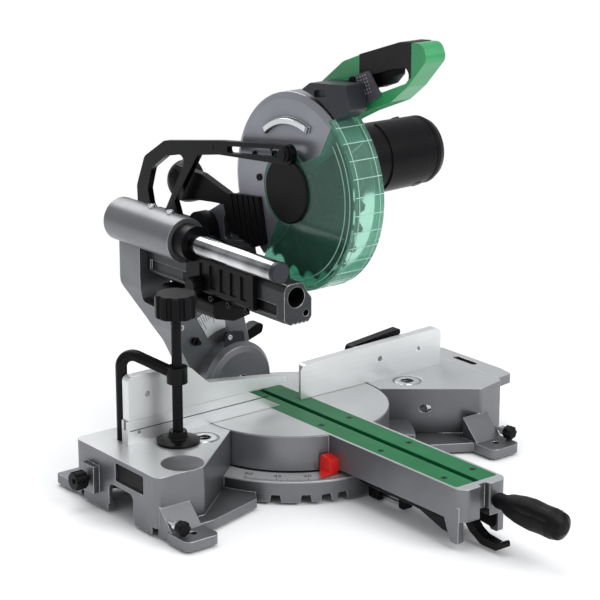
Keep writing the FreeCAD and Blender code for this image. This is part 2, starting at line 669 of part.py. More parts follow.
def build_turntable():
    node("turntable", turntable())
    node("kerf_inserts", kerf_insert(-1), kerf_insert(1))
    screws = []
    for x, y in insert_screws:
        z = table_z - 0.4
        profile = [(0, -9), (1.9, -9), (1.9, -2.2), (3.4, 0), (1.2, 0), (1.2, -1), (0, -1)]
        screws.append(turned(profile, x, y, z, Z_AXIS))
    node("kerf_screws", *screws)
    # pivot bolt from above, its head sunk below the kerf channel
    bolt = rod(0, 0, pivot_bolt_z, pivot_bolt_r, pivot_head_z - pivot_bolt_z).fuse(
            hexagon(0, 0, pivot_head_z, 18, 7))
    node("turntable_pivot_bolt", bolt)
    r = turntable_r
    z = turntable_rim_z
    block = slab([(-r - 13, z), (-r - 13, z + 17.5, 2), (5 - r, z + 20.5, 2), (5 - r, z + 10), (7 - r, z)],
                 "x", -arm_half_w - 12.4, -arm_half_w)
    tip = slab([(-arm_half_w - 26.4, -r - 14), (-arm_half_w - 12.4, -r - 13), (-arm_half_w - 12.4, 6 - r)],
               "z", z, z + 2)
    node("miter_pointer", block.fuse(tip).cut(rod(0, 0, 0, turntable_r + 0.05, 80)))


# ---- detent, lever and side handle ------------------------------------------------------------------
detent_y = -ring_r - 60    # pivot of the detent lever
detent_z = 42.0
detent_pin_z = 5.6
detent_pin_r = 2.8
detent_tip_y = -(ring_r + gap)


def build_detent():
    inner = arm_half_w - arm_wall
    plate = box(-inner, inner, -ring_r - 28, -ring_r - 4, arm_bottom_z, arm_bottom_z + 4)
    block = slab([(-9, arm_bottom_z + 1), (-9, 2, 2), (9, 2, 2), (9, arm_bottom_z + 1)], "y", -ring_r - 22,
                 -ring_r - 6)
    bracket = plate.fuse(block).cut(rod(0, -ring_r - 30, detent_pin_z, detent_pin_r + pin_play, 40, Y_AXIS))
    node("detent_bracket", bracket, rod(-inner, detent_y, detent_z, 3, 2 * inner, X_AXIS))
    node("detent_pin", rod(0, detent_y + 5 + gap, detent_pin_z, detent_pin_r,
                           detent_tip_y - detent_y - 5 - gap, Y_AXIS))
    y, z, front = detent_y, detent_z, arm_front_y
    hook = slab([(y + 5, z - 8), (y + 5, 3, 2), (y - 5, 3, 2), (y - 7, z - 9, 3), (front + 35, 32, 8),
                 (front + 18, 14, 8), (front, 4, 8), (front - 24, 4, 6), (front - 34, 10, 2),
                 (front - 33, 17, 2),
                 (front - 22, 12, 4), (front - 2, 14, 6), (front + 8, 19, 6), (front + 27, 38, 8),
                 (y - 7, z + 7, 4), (y + 7, z + 7, 6), (y + 7, z - 8, 3)], "x", -6, 6)
    node("detent_lever", hook.cut(rod(-7, detent_y, detent_z, 3 + pin_play, 14, X_AXIS)))
    grip = turned([(0, 0), (8, 0), (9, 3), (9, 12), (13, 22), (16, 38), (17.5, 54), (16.5, 70), (17, 86),
                   (15, 96),
                   (8, 101), (0, 102)], handle_axis_x, arm_front_y - 4, handle_axis_z, -Y_AXIS)
    for i in range(4):
        a = math.radians(55 + 90 * i)
        cut = rod(handle_axis_x + 24 * math.cos(
                a), arm_front_y - 92, handle_axis_z + 24 * math.sin(a), 8.5, 60, Y_AXIS)
        grip = grip.cut(cut)
    screw = rod(handle_axis_x, arm_front_y - 30, handle_axis_z, 5, 52, Y_AXIS)
    node("side_handle", grip.fuse(screw))


# ---- holder, rail and pole --------------------------------------------------------------------------
scale_plate_r0 = 66.0
scale_plate_r1 = 98.0


def holder():
    front = slab(
            [(-38, 64), (-60, 95, 10), (-86, 148, 14), (-95, 190, 10), (-95, 262), (-63, 262), (-50, 240),
                  (-50, 176, 10), (18, 172, 8), (30, 120, 14), (38, 64)], "y", dome_y1 + gap, pole_boss_y1)
    disc = rod(0, dome_y1 + gap, table_z, holder_disc_r, holder_y1 - dome_y1 - gap, Y_AXIS)
    front = front.fuse(disc)
    side = slab([(dome_y1 + gap, 10), (dome_y1 + gap, 170, 6), (bracket_y, 174, 6), (bracket_y, 300),
                 (pole_boss_y1, 300),
                 (pole_boss_y1, 190, 16), (holder_y1 + 14, 150, 20), (holder_y1, 126, 8), (holder_y1, 10)],
                "x", -200, 200)
    arm = front.common(side)
    # ribbed rear: three pockets behind the web
    for z0, z1 in ((84, 104), (110, 132), (138, 158)):
        arm = arm.cut(slab(
                [(-30, z0, 3), (14, z0, 3), (12, z1, 3), (-36, z1, 3)], "y", dome_y1 + 18, holder_y1 + 60))
    # the front left edge is cut back so that it clears the fence at full right miter
    a = math.radians(miter_max_right)
    reach = [(x, (fence_t + 1.5 - x * math.sin(a)) / math.cos(a)) for x in (-40, -140)]
    arm = arm.cut(slab([(-40, 0), reach[0], reach[1], (-140, 0)], "z", 0, fence_top_z + 1))
    boss = rod(pole_x, pole_boss_y0, pole_z, pole_boss_r, pole_boss_y1 - pole_boss_y0, Y_AXIS)
    bridge = slab([(pole_x - 5, pole_z - 20), (pole_x - 5, 200), (rail_x1 - 2, 200, 4), (rail_x1 - 2, 262, 6),
                   (pole_x + 24, 282, 4)], "y", bracket_y, pole_boss_y1)
    body = arm.multiFuse([boss, bridge])
    for cut in (rod(pole_x, 0, pole_z, pole_r + pin_play, pole_rear_y, Y_AXIS),
                rail_outline(1.0).extrude(V(0, bracket_y, 0)),
                rail_outline(gap / 3).extrude(V(0, rail_rear_y - bracket_y + gap, 0))
                .translated(V(0, bracket_y, 0)),
                rod(0, 100, table_z, hinge_pin_r + pin_play, 120, Y_AXIS)):
        body = body.cut(cut)
    return body.removeSplitter()


def rail_outline(grow=0.0):
    """Section of the lower rail: a square tube with a round lobe at its upper left."""
    x0, x1, z0, z1 = rail_x0 - grow, rail_x1 + grow, rail_z0 - grow, rail_z1 + grow
    return face_of([(x0, z0 + 6, 3), (x0 + 8, z0, 3), (x1 - 5, z0, 3), (x1, z0 + 6, 3), (x1, z1 - 20, 6),
                    (x1 - 8, z1 - 10, 4), (x1 - 12, z1, 6), (x0 + 4, z1, 8), (x0, z1 - 8, 6)], "y", 0)


def lower_rail():
    rail = rail_outline().extrude(V(0, rail_rear_y - rail_front_y, 0)).translated(V(0, rail_front_y, 0))
    cx, cz = rail_x0 + 17, rail_z1 - 16.5
    rail = rail.cut(rod(cx, rail_front_y - 1, cz, rail_bore_r, 60, Y_AXIS))
    rail = rail.cut(rod(rail_x1 - 8, rail_front_y - 1, rail_z0 + 11, 4, 60, Y_AXIS))
    # long recess in the left side and grooves underneath
    rail = rail.cut(
            box(rail_x0 - 1, rail_x0 + 2.5, rail_front_y + 14, bracket_y - 8, rail_z0 + 9, rail_z1 - 26))
    for i in range(4):
        x = rail_x0 + 12 + 6 * i
        rail = rail.cut(box(x, x + 2.5, rail_front_y - 1, rail_rear_y + 1, rail_z0 - 1, rail_z0 + 1.6))
    return rail


def scale_plate():
    """Curved bevel scale on the holder's front face."""
    outer = rod(0, dome_y1 - 1.3, table_z, scale_plate_r1, 1.3, Y_AXIS)
    band = outer.cut(rod(0, 0, table_z, scale_plate_r0, 300, Y_AXIS))
    wedge = slab([(0, table_z), (-58, table_z + 100), (-10, table_z + 116)], "y", 0, 300)
    return band.common(wedge)


def build_holder():
    node("bevel_holder", holder())
    node("lower_rail", lower_rail())
    node("slide_pole", rod(pole_x, pole_front_y, pole_z, pole_r, pole_rear_y - pole_front_y, Y_AXIS))
    node("pole_cap", turned([(0, 0), (pole_r - 1, 0), (pole_r + 0.2, 1.5), (pole_r + 0.2, 7), (0, 7)],
                            pole_x, pole_front_y - 7, pole_z, Y_AXIS))
    node("bevel_scale_plate", scale_plate().translated(V(0, gap, 0)))
    pointer = slab([(-20, table_z + 40), (12, table_z + 40), (10, table_z + 62, 4), (-5, table_z + 65, 2),
                    (-18, table_z + 62, 4)], "y", dome_y0 + 8, dome_y0 + 10)
    node("bevel_pointer", pointer.cut(rod(0, 0, table_z, dome_r + 0.02, 200, Y_AXIS)))
    pin = rod(0, dome_y0 + 6, table_z, hinge_pin_r, holder_y1 + 22 - dome_y0 - 6, Y_AXIS)
    lever = slab(
            [(-13, table_z - 11, 8), (13, table_z - 12, 10), (16, table_z + 14, 8), (78, table_z + 34, 4),
                  (82, table_z + 46, 5), (70, table_z + 47, 5), (-2, table_z + 16, 8)],
                 "y", holder_y1 + gap, holder_y1 + 16)
    node("bevel_clamp_lever", lever.cut(rod(0, holder_y1 - 1, table_z, hinge_pin_r + pin_play, 40, Y_AXIS)))
    nut = hexagon(0, holder_y1 + 16 + gap, table_z, 26, 8, Y_AXIS)
    node("bevel_hinge_bolt", pin, nut.cut(rod(0, holder_y1, table_z, hinge_pin_r, 60, Y_AXIS)))


# ---- carriage ---------------------------------------------------------------------------------------
sleeve_y0 = 66.0
shoe_y0 = -45.0
carriage_y1 = 137.0
carriage_z0 = 178.0
block_y0 = 97.0
block_z1 = 195.0


def carriage():
    sleeve = rod(pole_x, sleeve_y0, pole_z, 21, pole_boss_y0 - gap - sleeve_y0, Y_AXIS)
    web = slab([(pole_x, pole_z - 20), (pole_x, pole_z + 14), (-58, pole_z + 2, 6), (-37.2, rail_z1 + 6, 4),
                (-37.2, rail_z1 - 4), (-60, rail_z1 - 4)], "y", sleeve_y0, pole_boss_y0 - gap)
    shoe = slab([(rail_x0 - 6.5, rail_z0 + 8, 3), (rail_x0 - 6.5, rail_z1 + 6, 6), (-37.2, rail_z1 + 6, 6),
                 (-37.2, carriage_z0 + 12), (rail_x1 + gap, carriage_z0 + 12), (rail_x1 + gap, rail_z0 + 8)],
                "y", shoe_y0, pole_boss_y0 - gap)
    block = slab(
            [(rail_x0 - 6.5, rail_z0 - gap, 4), (rail_x0 - 6.5, carriage_z0 + 4, 8), (-60, carriage_z0, 8),
                  (lug_right[1], carriage_z0, 8), (lug_right[1], block_z1, 6), (-37.2, block_z1),
                  (-37.2, rail_z0 - gap)], "y", block_y0, carriage_y1)
    nose = slab(
            [(rail_x0 - 6.5, rail_z0 - gap, 4), (rail_x0 - 6.5, carriage_z0 + 8, 8), (-60, carriage_z0, 8),
                 (-37.2, carriage_z0 + 4), (-37.2, rail_z0 - gap)], "y", 32, block_y0 + 1)
    tower = slab([(block_y0, carriage_z0 + 2), (carriage_y1, carriage_z0 + 2, 8), (carriage_y1 + 26, 214, 12),
                  (head_y + 25, head_z - 6, 12), (head_y + 14, head_z + 24, 18),
                  (head_y - 18, head_z + 24, 20),
                  (head_y - 34, 226, 20), (block_y0, 200)], "x", lug_left[0], lug_right[1])
    inner = slab([(40, 184), (block_y0 + 14, 184, 4), (block_y0 + 25, block_z1, 6),
                  (carriage_y1 + 6, block_z1, 12),
                  (carriage_y1 + 60, 222), (head_y + 60, 330), (40, 330)], "x", lug_left[1], lug_right[0])
    rear = slab([(head_y + 4, 214, 8), (head_y + 30, 222, 8), (link_y + 14, link_z - 12, 12),
                 (link_y + 12, link_z + 12, 12), (link_y - 12, link_z + 12, 12), (head_y + 10, head_z + 10)],
                "x", lug_left[0], lug_left[1])
    body = sleeve.multiFuse([web, shoe, block.cut(inner), nose, tower.cut(inner), rear])
    for cut in (rod(pole_x, 0, pole_z, pole_r + pin_play, 100, Y_AXIS),
                rod(pole_x, shoe_y0 - 10, pole_z, pole_r + 1, sleeve_y0 - shoe_y0 + 10, Y_AXIS),
                rail_outline(gap / 2).extrude(V(0, 400, 0)).translated(V(0, -100, 0)),
                rod(-60, head_y, head_z, head_pin_r + pin_play, 200, X_AXIS),
                rod(-60, link_y, link_z, link_pin_r + pin_play, 100, X_AXIS)):
        body = body.cut(cut)
    # row of shallow pockets along the nose
    for i in range(5):
        y = shoe_y0 + 12 + 20 * i
        body = body.cut(box(rail_x0 - 7.5, rail_x0 - 4.5, y, y + 12, rail_z0 + 16, rail_z1 - 4))
    return body.removeSplitter()


def build_carriage():
    node("slide_carriage", carriage())
    pivot = rod(lug_left[0], head_y, head_z, head_pin_r, lug_right[1] + 4 - lug_left[0], X_AXIS)
    node("hinge_pins", pivot, rod(
            link_x0 - 2, link_y, link_z, link_pin_r, lug_left[1] - link_x0 + 2, X_AXIS).fuse(
        rod(link_x0 - 5, link_y, link_z, 8, 5 - gap, X_AXIS)))
    knob = fluted(rail_x0 - 6.5 - gap, 60, 222, 11, 14, 8, 1.8, -X_AXIS)
    node("slide_lock_knob", knob)


# ---- head casting and covers ------------------------------------------------------------------------
motor_y = blade_y + gear_module * (gear_teeth + pinion_teeth) / 2 * math.cos(math.radians(motor_bearing))
motor_z = blade_z + gear_module * (gear_teeth + pinion_teeth) / 2 * math.sin(math.radians(motor_bearing))
gear_x0 = 26.0
gear_x1 = 34.0
case_x0 = 17.3
case_x1 = 61.7
skirt_r = 33.6
handle_x0 = 19.0
handle_x1 = 47.0


def upper_guard():
    w, r = upper_wall, upper_r
    shell = sector(
            [(upper_x0, 30), (upper_x0, r - 8), (upper_x0 + 4.5, r), (upper_x1 - 3, r), (upper_x1, r - 4),
                    (upper_x1, 30), (upper_x1 - w, 30), (upper_x1 - w, r - 5), (upper_x1 - w - 2, r - w),
                    (upper_x0 + w + 2.5, r - w), (upper_x0 + w, r - 9), (upper_x0 + w, 30)], -40, 143)
    collar = sector([(upper_x0, 16), (upper_x0, 31), (upper_x0 + w, 31), (upper_x0 + w, 16)], 0, 360)
    collar_right = sector([(upper_x1 - w, 9), (upper_x1 - w, 40), (upper_x1, 40), (upper_x1, 9)], 0, 360)
    lower_left = slab([polar(30, -40), polar(r - 9, -40), polar(104, -58), polar(60, -74), polar(31, -92),
                       polar(28, -60)],
                      "x", upper_x0, upper_x0 + w)
    arm = slab([polar(104, -11) + (2,), (head_y - 4, head_z + 25, 20), (head_y + 23, head_z + 12, 14),
                (head_y + 20, head_z - 16, 14), (head_y - 14, head_z - 23, 18), polar(104, -52) + (2,)],
               "x", hub_half[0], hub_half[1])
    arm = arm.cut(rod(upper_x0 - 1, blade_y, blade_z, r - w, 60, X_AXIS))
    hub = rod(hub_half[0], head_y, head_z, 23, hub_half[1] - hub_half[0], X_AXIS)
    rib = sector([(-21.2, 76), (-21.2, 83), (upper_x0 + 1, 84), (upper_x0 + 1, 75)], 50, 112)
    skirt = sector([(lower_x0 - 0.4, 29), (lower_x0 - 0.4, skirt_r), (upper_x0 + 1, skirt_r),
                    (upper_x0 + 1, 29)], 0, 360)
    body = shell.multiFuse([collar, collar_right, lower_left, arm, hub, rib, skirt])
    # weight-saving pockets in both faces of the arm
    pocket = [(70, 296, 6), (118, 281, 6), (116, 252, 6), (62, 262, 6)]
    body = body.cut(slab(pocket, "x", hub_half[0] - 1, hub_half[0] + 10))
    body = body.cut(slab(pocket, "x", hub_half[1] - 10, hub_half[1] + 1))
    body = body.cut(rod(-60, head_y, head_z, head_pin_r + pin_play, 200, X_AXIS))
    body = body.cut(rod(-40, blade_y, blade_z, arbor_r + 4, 60, X_AXIS))
    return body.removeSplitter()


def gear_case():
    lobe = rod(case_x0, blade_y, blade_z, 36, case_x1 - case_x0, X_AXIS)
    drum = rod(case_x0, motor_y, motor_z, motor_r + 3, case_x1 - case_x0, X_AXIS)
    hollow = rod(gear_x0 - 3, blade_y, blade_z, 27, 26, X_AXIS).fuse(
        rod(gear_x0 - 3, motor_y, motor_z, 12, 26, X_AXIS))
    body = lobe.fuse(drum).cut(hollow)
    for i in range(6):
        a = math.radians(30 + 60 * i)
        pad = rod(case_x1 - 12, motor_y + (motor_r + 3) * math.cos(a),
                  motor_z + (motor_r + 3) * math.sin(a), 5, 12,
                  X_AXIS)
        if abs(a - math.radians(150)) > 0.1:
            body = body.fuse(pad)
    body = body.cut(rod(case_x0 - 1, blade_y, blade_z, bearing_r + pin_play, 7.1, X_AXIS))
    body = body.cut(rod(case_x0 - 1, blade_y, blade_z, arbor_r + 2, 40, X_AXIS))
    body = body.cut(rod(gear_x1 + 14, blade_y, blade_z, bearing_r + pin_play, 8, X_AXIS))
    body = body.cut(rod(gear_x0 - 3, motor_y, motor_z, 7, 60, X_AXIS))
    body = body.cut(rod(case_x1 - 7, motor_y, motor_z, bearing_r + pin_play, 8, X_AXIS))
    return body.removeSplitter()


bearing_r = 13.0


def gear_outline(teeth, phase):
    """An involute spur gear outline about the origin, one tooth centred on the phase angle."""
    m = gear_module
    pitch_r = m * teeth / 2
    base_r = pitch_r * math.cos(math.radians(20))
    root_r, tip_r = pitch_r - 1.25 * m, pitch_r + 0.85 * m
    inv = math.tan(math.radians(20)) - math.radians(20)
    half = math.pi / 2 / teeth - gear_backlash / 4 / pitch_r
    points = []
    for i in range(teeth):
        centre = math.radians(phase) + 2 * math.pi * i / teeth
        flank = []
        for r in (max(root_r, base_r), pitch_r, tip_r):
            a = math.acos(min(1, base_r / r))
            flank.append((r, half + inv - (math.tan(a) - a)))
        if root_r < base_r:
            flank.insert(0, (root_r, flank[0][1]))
        for r, t in flank:
            points.append((r * math.cos(centre - t), r * math.sin(centre - t)))
        for r, t in reversed(flank):
            points.append((r * math.cos(centre + t), r * math.sin(centre + t)))
    return points


def spur_gear(teeth, phase, y, z, bore):
    points = [(y + a, z + b) for a, b in gear_outline(teeth, phase)]
    return slab(
            points, "x", gear_x0, gear_x1).cut(rod(gear_x0 - 1, y, z, bore, gear_x1 - gear_x0 + 2, X_AXIS))


def saw_blade():
    """Plate with hooked teeth, gullets and a round bore."""
    points = []
    step = 360 / blade_teeth
    for i in range(blade_teeth):
        a = step * i
        for r, d in ((blade_r, 0), (blade_r - 1.2, 3.4), (blade_r - 8, 6.4), (blade_r - 9.5, 9.5),
                     (blade_r - 7, 12.8)):
            points.append(polar(r, a + d))
    plate = slab(points, "x", -blade_body_t / 2, blade_body_t / 2)
    return plate.cut(rod(-5, blade_y, blade_z, blade_bore_r, 10, X_AXIS))


def lower_guard():
    """Clear guard: rim, left side wall with its pivot ring, and a narrow right flange."""
    r, w = lower_r, lower_wall
    rim = sector([(lower_x0, 41), (lower_x0, r - 2.5), (lower_x0 + 2.5, r), (lower_x1 - 1.5, r),
                  (lower_x1, r - 1.5),
                  (lower_x1, 101), (lower_x1 - 2, 101), (lower_x1 - 2, r - w), (lower_x0 + 2.3, r - w),
                  (lower_x0 + 2.3, 41)], lower_phi0, lower_phi1)
    hub = sector([(lower_x0, skirt_r + 0.25), (lower_x0, 45), (lower_x0 + 2.3, 45),
                  (lower_x0 + 2.3, skirt_r + 0.25)],
                 0, 360)
    # upper front corner of the side wall is cut on a slant, past the pivot ring
    corner = slab([polar(47, lower_phi0 - 1), polar(80, 100), polar(130, 110), polar(130, 131),
                   polar(78, 139)], "x",
                  lower_x0 - 1, lower_x0 + 2.31)
    return rim.cut(corner).fuse(hub)


def handle():
    outer = slab([(-18, 392, 10), (-4, 430, 14), (-32, 464, 20), (-71, 493, 20), (-102, 505, 30),
                  (-169, 527, 20),
                  (-204, 530, 12), (-212, 513, 10), (-180, 479, 10), (-154, 459, 14), (-103, 439, 20),
                  (-72, 424, 10),
                  (-52, 392, 8)], "x", handle_x0, handle_x1)
    opening = slab(finger_opening, "x", handle_x0 - 1, handle_x1 + 1)
    body = outer.cut(opening)
    body = body.cut(rod(0, blade_y, blade_z, lower_r + 0.8, lower_x1 + 0.5, X_AXIS))
    body = body.cut(rod(0, motor_y, motor_z, motor_r + 3 + 0.05, 100, X_AXIS))
    body = body.cut(grip_zone())
    # pocket and bores for the trigger and the lock-off button
    body = body.cut(trigger_pocket())
    cy, cz = button_yz
    body = body.cut(rod(handle_x0 - 1, cy, cz, 5 + gap, handle_x1 - handle_x0 + 2, X_AXIS))
    return body


finger_opening = [(-99, 462, 6), (-105, 480, 8), (-171, 501, 8), (-190, 497, 8), (-178, 483, 8),
                  (-112, 457, 6)]
button_yz = (-92.0, 474.0)


def grip_zone():
    """Space of the rubber grip on the handle's upper bar, a band all round it."""
    d = 3.0
    outer = slab([(-100, 470), (-100, 520), (-186, 548), (-186, 490)], "x",
                 handle_x0 - 5, handle_x1 + 5)
    core = slab([(-80, 494 - d), (-102, 505 - d), (-169, 527 - d), (-204, 530 - d - 1), (-204, 505 + d),
                 (-171, 501 + d - 1), (-105, 480 + d), (-80, 472 + d)], "x", handle_x0 + d, handle_x1 - d)
    return outer.cut(core).cut(box(0, 100, -230, -60, 380, 478))


def rubber_grip():
    band = slab([(-18, 392), (-4, 430), (-32, 464), (-71, 493, 20), (-102, 505.6, 30), (-169, 527.6, 20),
                 (-204, 530.6),
                 (-212, 513), (-180, 479), (-154, 459), (-103, 439), (-52, 392)], "x", handle_x0 - 0.5,
                handle_x1 + 0.5)
    shape = grip_zone().common(band)
    shape = shape.cut(slab(finger_opening, "x", handle_x0 - 6, handle_x1 + 6))
    return max(shape.cut(trigger_pocket()).Solids, key=lambda s: s.Volume)


def trigger_shape(grow):
    g = grow
    return slab([(-108 + g, 482 + g), (-108 + g, 474 - g, 3), (-118, 468 - g, 5), (-140, 476 - g, 8),
                 (-152 - g, 488 - g, 3), (-152 - g, 496 + g)], "x", 33 - 8 - g, 33 + 8 + g)


def trigger_pocket():
    """Room for the trigger over its travel, square to the handle's upper bar."""
    pocket = trigger_shape(gap)
    for part in (0.25, 0.5, 0.75, 1.0):
        shift = V(0, *trigger_pull) * (trigger_travel * part)
        pocket = pocket.fuse(trigger_shape(gap).translated(shift))
    return pocket


def build_head():
    node("saw_head_casting", upper_guard())
    node("gear_case", gear_case())
    cover = turned(
            [(0, 0), (cover_r - 2, 0), (cover_r, 1.2), (cover_r, 2.6), (0, 2.6)], lower_x0 - 3.3, blade_y,
                   blade_z, X_AXIS)
    node("spindle_cover", cover)
    node("handle", handle())
    node("handle_grip", rubber_grip())
    # laser block over the clear guard's front, its outline measured from the guard's top
    guard_top = blade_z + lower_r
    laser = slab([(-38, guard_top - 14, 3), (-40, guard_top + 1, 4), (-54, guard_top + 10, 6),
                  (-116, guard_top + 16, 4), (-124, guard_top - 12, 4), (-106, guard_top - 24),
                  (-54, guard_top - 28)], "x", -15, handle_x0 - 0.05)
    laser = laser.cut(rod(-30, blade_y, blade_z, lower_r + 0.8, 60, X_AXIS))
    laser = laser.cut(slab([(-60, guard_top - 6, 3), (-62, guard_top + 3, 3), (-80, guard_top + 6, 3),
                            (-84, guard_top - 2, 3)], "x", -16, -11))
    laser = laser.cut(box(handle_x0 - 4.5 - 2 * gap - 3, 60, -150, -82, guard_top - 30, guard_top + 40))
    node("laser_block", laser)
    # dust guide: ribbed black shroud on the casting's left face, with its outlet elbow behind the arm
    guide = slab([(34, 322, 3), (84, 317, 4), (99, 315, 4), (104, 298, 8), (94, 270, 6), (46, 258, 6),
                  (22, 268, 4)],
                 "x", -21.4, upper_x0 - 0.02)
    for i in range(6):
        y = 36 + 11 * i
        guide = guide.cut(slab([(y, 340), (y + 4, 340), (y - 16, 250), (y - 20, 250)], "x", -22, -19.4))
    duct = slab([(90, 300), (98, 315, 3), (150, 329, 10), (elbow_y, 331), (elbow_y, 286), (175, 292, 10),
                 (150, 296, 10), (120, 299, 10)], "x", -21.4, hub_half[0] - gap)
    bulge = [(elbow_r * math.cos(math.radians(a)), 8 + 25 * math.sin(math.radians(a))) for a in range(0, 91,
                                                                                                      15)]
    elbow = turned([(0, 0), (elbow_r, 0)] + bulge, 5.5, elbow_y, elbow_z, -X_AXIS)
    guide = guide.fuse(duct).fuse(elbow).removeSplitter()
    node("dust_guide", guide)
    build_motor()


def build_motor():
    x0, x1 = case_x1 + 0.02, motor_x1
    split = x1 - 20
    r = motor_r
    length = split - x0
    shell = turned([(r - motor_wall, 0), (r, 0), (r, 6), (r - 0.8, 8), (r - 1.5, length),
                    (r - 1.5 - motor_wall, length)],
                   x0, motor_y, motor_z, X_AXIS)
    band = sector([(120, r - 2), (120, r + 0.8), (180, r - 0.4), (180, r - 2)], 100, 260, motor_y, motor_z)
    shell = shell.fuse(band)
    for turn in (60, 240):
        a = math.radians(turn)
        shell = shell.cut(Part.makeCylinder(6.5, 30, V(176, motor_y + 30 * math.cos(a),
                                                       motor_z + 30 * math.sin(a)),
                                            V(0, math.cos(a), math.sin(a))))
    node("motor_housing", shell.removeSplitter())
    re = r - 1.5
    seat = bearing_r + pin_play
    cap = turned([(0, 12), (seat, 12), (seat, 3), (re, 3), (re, 8), (re - 4, 16), (re - 9, 20), (0, 20)],
                 split + 0.02, motor_y, motor_z, X_AXIS)
    for i in range(8):
        a = 45 * i
        slot = box(split - 5, split + 30, -2, 2, 17, 30)
        slot.rotate(V(0, 0, 0), X_AXIS, a)
        cap = cap.cut(slot.translated(V(0, motor_y, motor_z)))
    node("motor_end_cap", cap)
    caps = []
    for turn in (60, 240):
        a = math.radians(turn)
        direction = V(0, math.cos(a), math.sin(a))
        at = V(176, motor_y, motor_z) + direction * 31
        caps.append(Part.makeCylinder(6.5 - pin_play, r - 31, at, direction))
    node("brush_caps", *caps)
    inner = r - 1.5 - motor_wall - 0.1
    node("motor_field", ring(88, motor_y, motor_z, inner, 26.5, 56, X_AXIS))


def build_spindle():
    node("saw_blade", saw_blade())
    inner = turned([(arbor_r, 0), (blade_bore_r - 0.02, 0), (blade_bore_r - 0.02, 1.4), (21, 1.4),
                    (21, 6), (arbor_r, 6)], -0.7, blade_y, blade_z, X_AXIS)
    outer = turned([(arbor_r, 0), (21, 0), (21, 2), (15, 5), (arbor_r, 5)], -0.7, blade_y, blade_z, -X_AXIS)
    node("blade_flanges", inner, outer)
    shaft = rod(-5.7, blade_y, blade_z, arbor_r, gear_x1 + 22 + 5.7 - 0.5, X_AXIS)
    node("arbor_shaft", shaft)
    node("arbor_bolt", hexagon(-5.7, blade_y, blade_z, 13, 6, -X_AXIS))
    node("output_gear", spur_gear(gear_teeth, motor_bearing, blade_y, blade_z, arbor_r))
    # the pinion's tooth gap faces the gear's tooth
    pinion = spur_gear(pinion_teeth, motor_bearing + 180 + 180 / pinion_teeth, motor_y, motor_z, 3)
    node("armature_shaft", pinion.fuse(
            rod(gear_x0 - 1, motor_y, motor_z, 4, motor_x1 - 14 - gear_x0, X_AXIS)))
    core = rod(90, motor_y, motor_z, 25.5, 52, X_AXIS).fuse(rod(156, motor_y, motor_z, 14, 20, X_AXIS))
    core = core.fuse(rod(141, motor_y, motor_z, 20, 16, X_AXIS))
    core = core.cut(rod(80, motor_y, motor_z, 4, 120, X_AXIS))
    node("armature_core", core)
    fan = rod(66, motor_y, motor_z, 36, 2.5, X_AXIS).fuse(rod(66, motor_y, motor_z, 9, 14, X_AXIS))
    for i in range(12):
        blade = box(68, 79, -1, 1, 14, 35)
        blade.rotate(V(0, 0, 0), X_AXIS, 30 * i)
        fan = fan.fuse(blade.translated(V(0, motor_y, motor_z)))
    node("cooling_fan", fan.cut(rod(60, motor_y, motor_z, 4, 40, X_AXIS)))
    node("ball_bearings", ring(case_x0 + 0.1, blade_y, blade_z, bearing_r, arbor_r + pin_play, 5.9, X_AXIS),
         ring(gear_x1 + 14, blade_y, blade_z, bearing_r, arbor_r + pin_play, 7.4, X_AXIS),
         ring(case_x1 - 6.9, motor_y, motor_z, bearing_r, 4 + pin_play, 6.8, X_AXIS),
         ring(motor_x1 - 20 + 3.2, motor_y, motor_z, bearing_r, 4 + pin_play, 8.6, X_AXIS))


# ---- guards and controls ----------------------------------------------------------------------------
def guard_link():
    frame = slab(
            [(-48, 400, 10), (92, 382, 30), (206, 363, 14), (250, 336, 14), (268, 296, 14), (266, 252, 10),
                  (250, 243, 10), (228, 248, 8), (176, 268, 6), (186, 290), (136, 357), (92, 365),
             (-46, 376, 10)],
                 "x", link_x0, link_x1)
    window = slab(
            [(156, 355, 8), (204, 344, 10), (234, 324, 10), (244, 296, 8), (238, 272, 8), (206, 276, 6)],
                  "x", link_x0 - 1, link_x1 + 1)
    slot = slab([(-36, 393, 4), (76, 378, 3), (76, 370, 3), (-36, 383, 4)], "x", link_x0 - 1, link_x1 + 1)
    body = frame.cut(window).cut(slot)
    return body.cut(rod(-60, link_y, link_z, link_pin_r + pin_play, 60, X_AXIS))


def build_controls():
    node("lower_guard", lower_guard())
    node("guard_link", guard_link())
    node("trigger", trigger_shape(
            0).cut(slab([(-109, 484), (-109, 476), (-150, 492), (-150, 500)], "x", 29, 37)))
    cy, cz = button_yz
    node("lock_off_button", rod(handle_x0 - 5, cy, cz, 5, handle_x1 - handle_x0 + 4, X_AXIS))
    paddle = slab([(-84, 476, 3), (-119, 489, 3), (-140, 464, 3), (-101, 443, 3)], "x", handle_x0 - 4.5,
                  handle_x0 - 0.5 - gap)
    node("guard_release_lever", paddle.cut(rod(0, cy, cz, 7, 50, X_AXIS)))


build_base()
build_fences()
build_vise()
build_turntable()
build_detent()
build_holder()
build_carriage()
build_head()
build_spindle()
build_controls()

os.makedirs("parts", exist_ok=True)
for name, shape in nodes.items():
    shape.exportStep("parts/" + name + ".step")
    print("%-22s solids %d valid %s vol %.0f" % (name, len(shape.Solids), shape.isValid(), shape.Volume))
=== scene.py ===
import json
import logging
import math
from dataclasses import dataclass, field
from enum import Enum
from typing import Mapping, Optional, Sequence

import bmesh
import bpy
from mathutils import Euler, Matrix, Vector


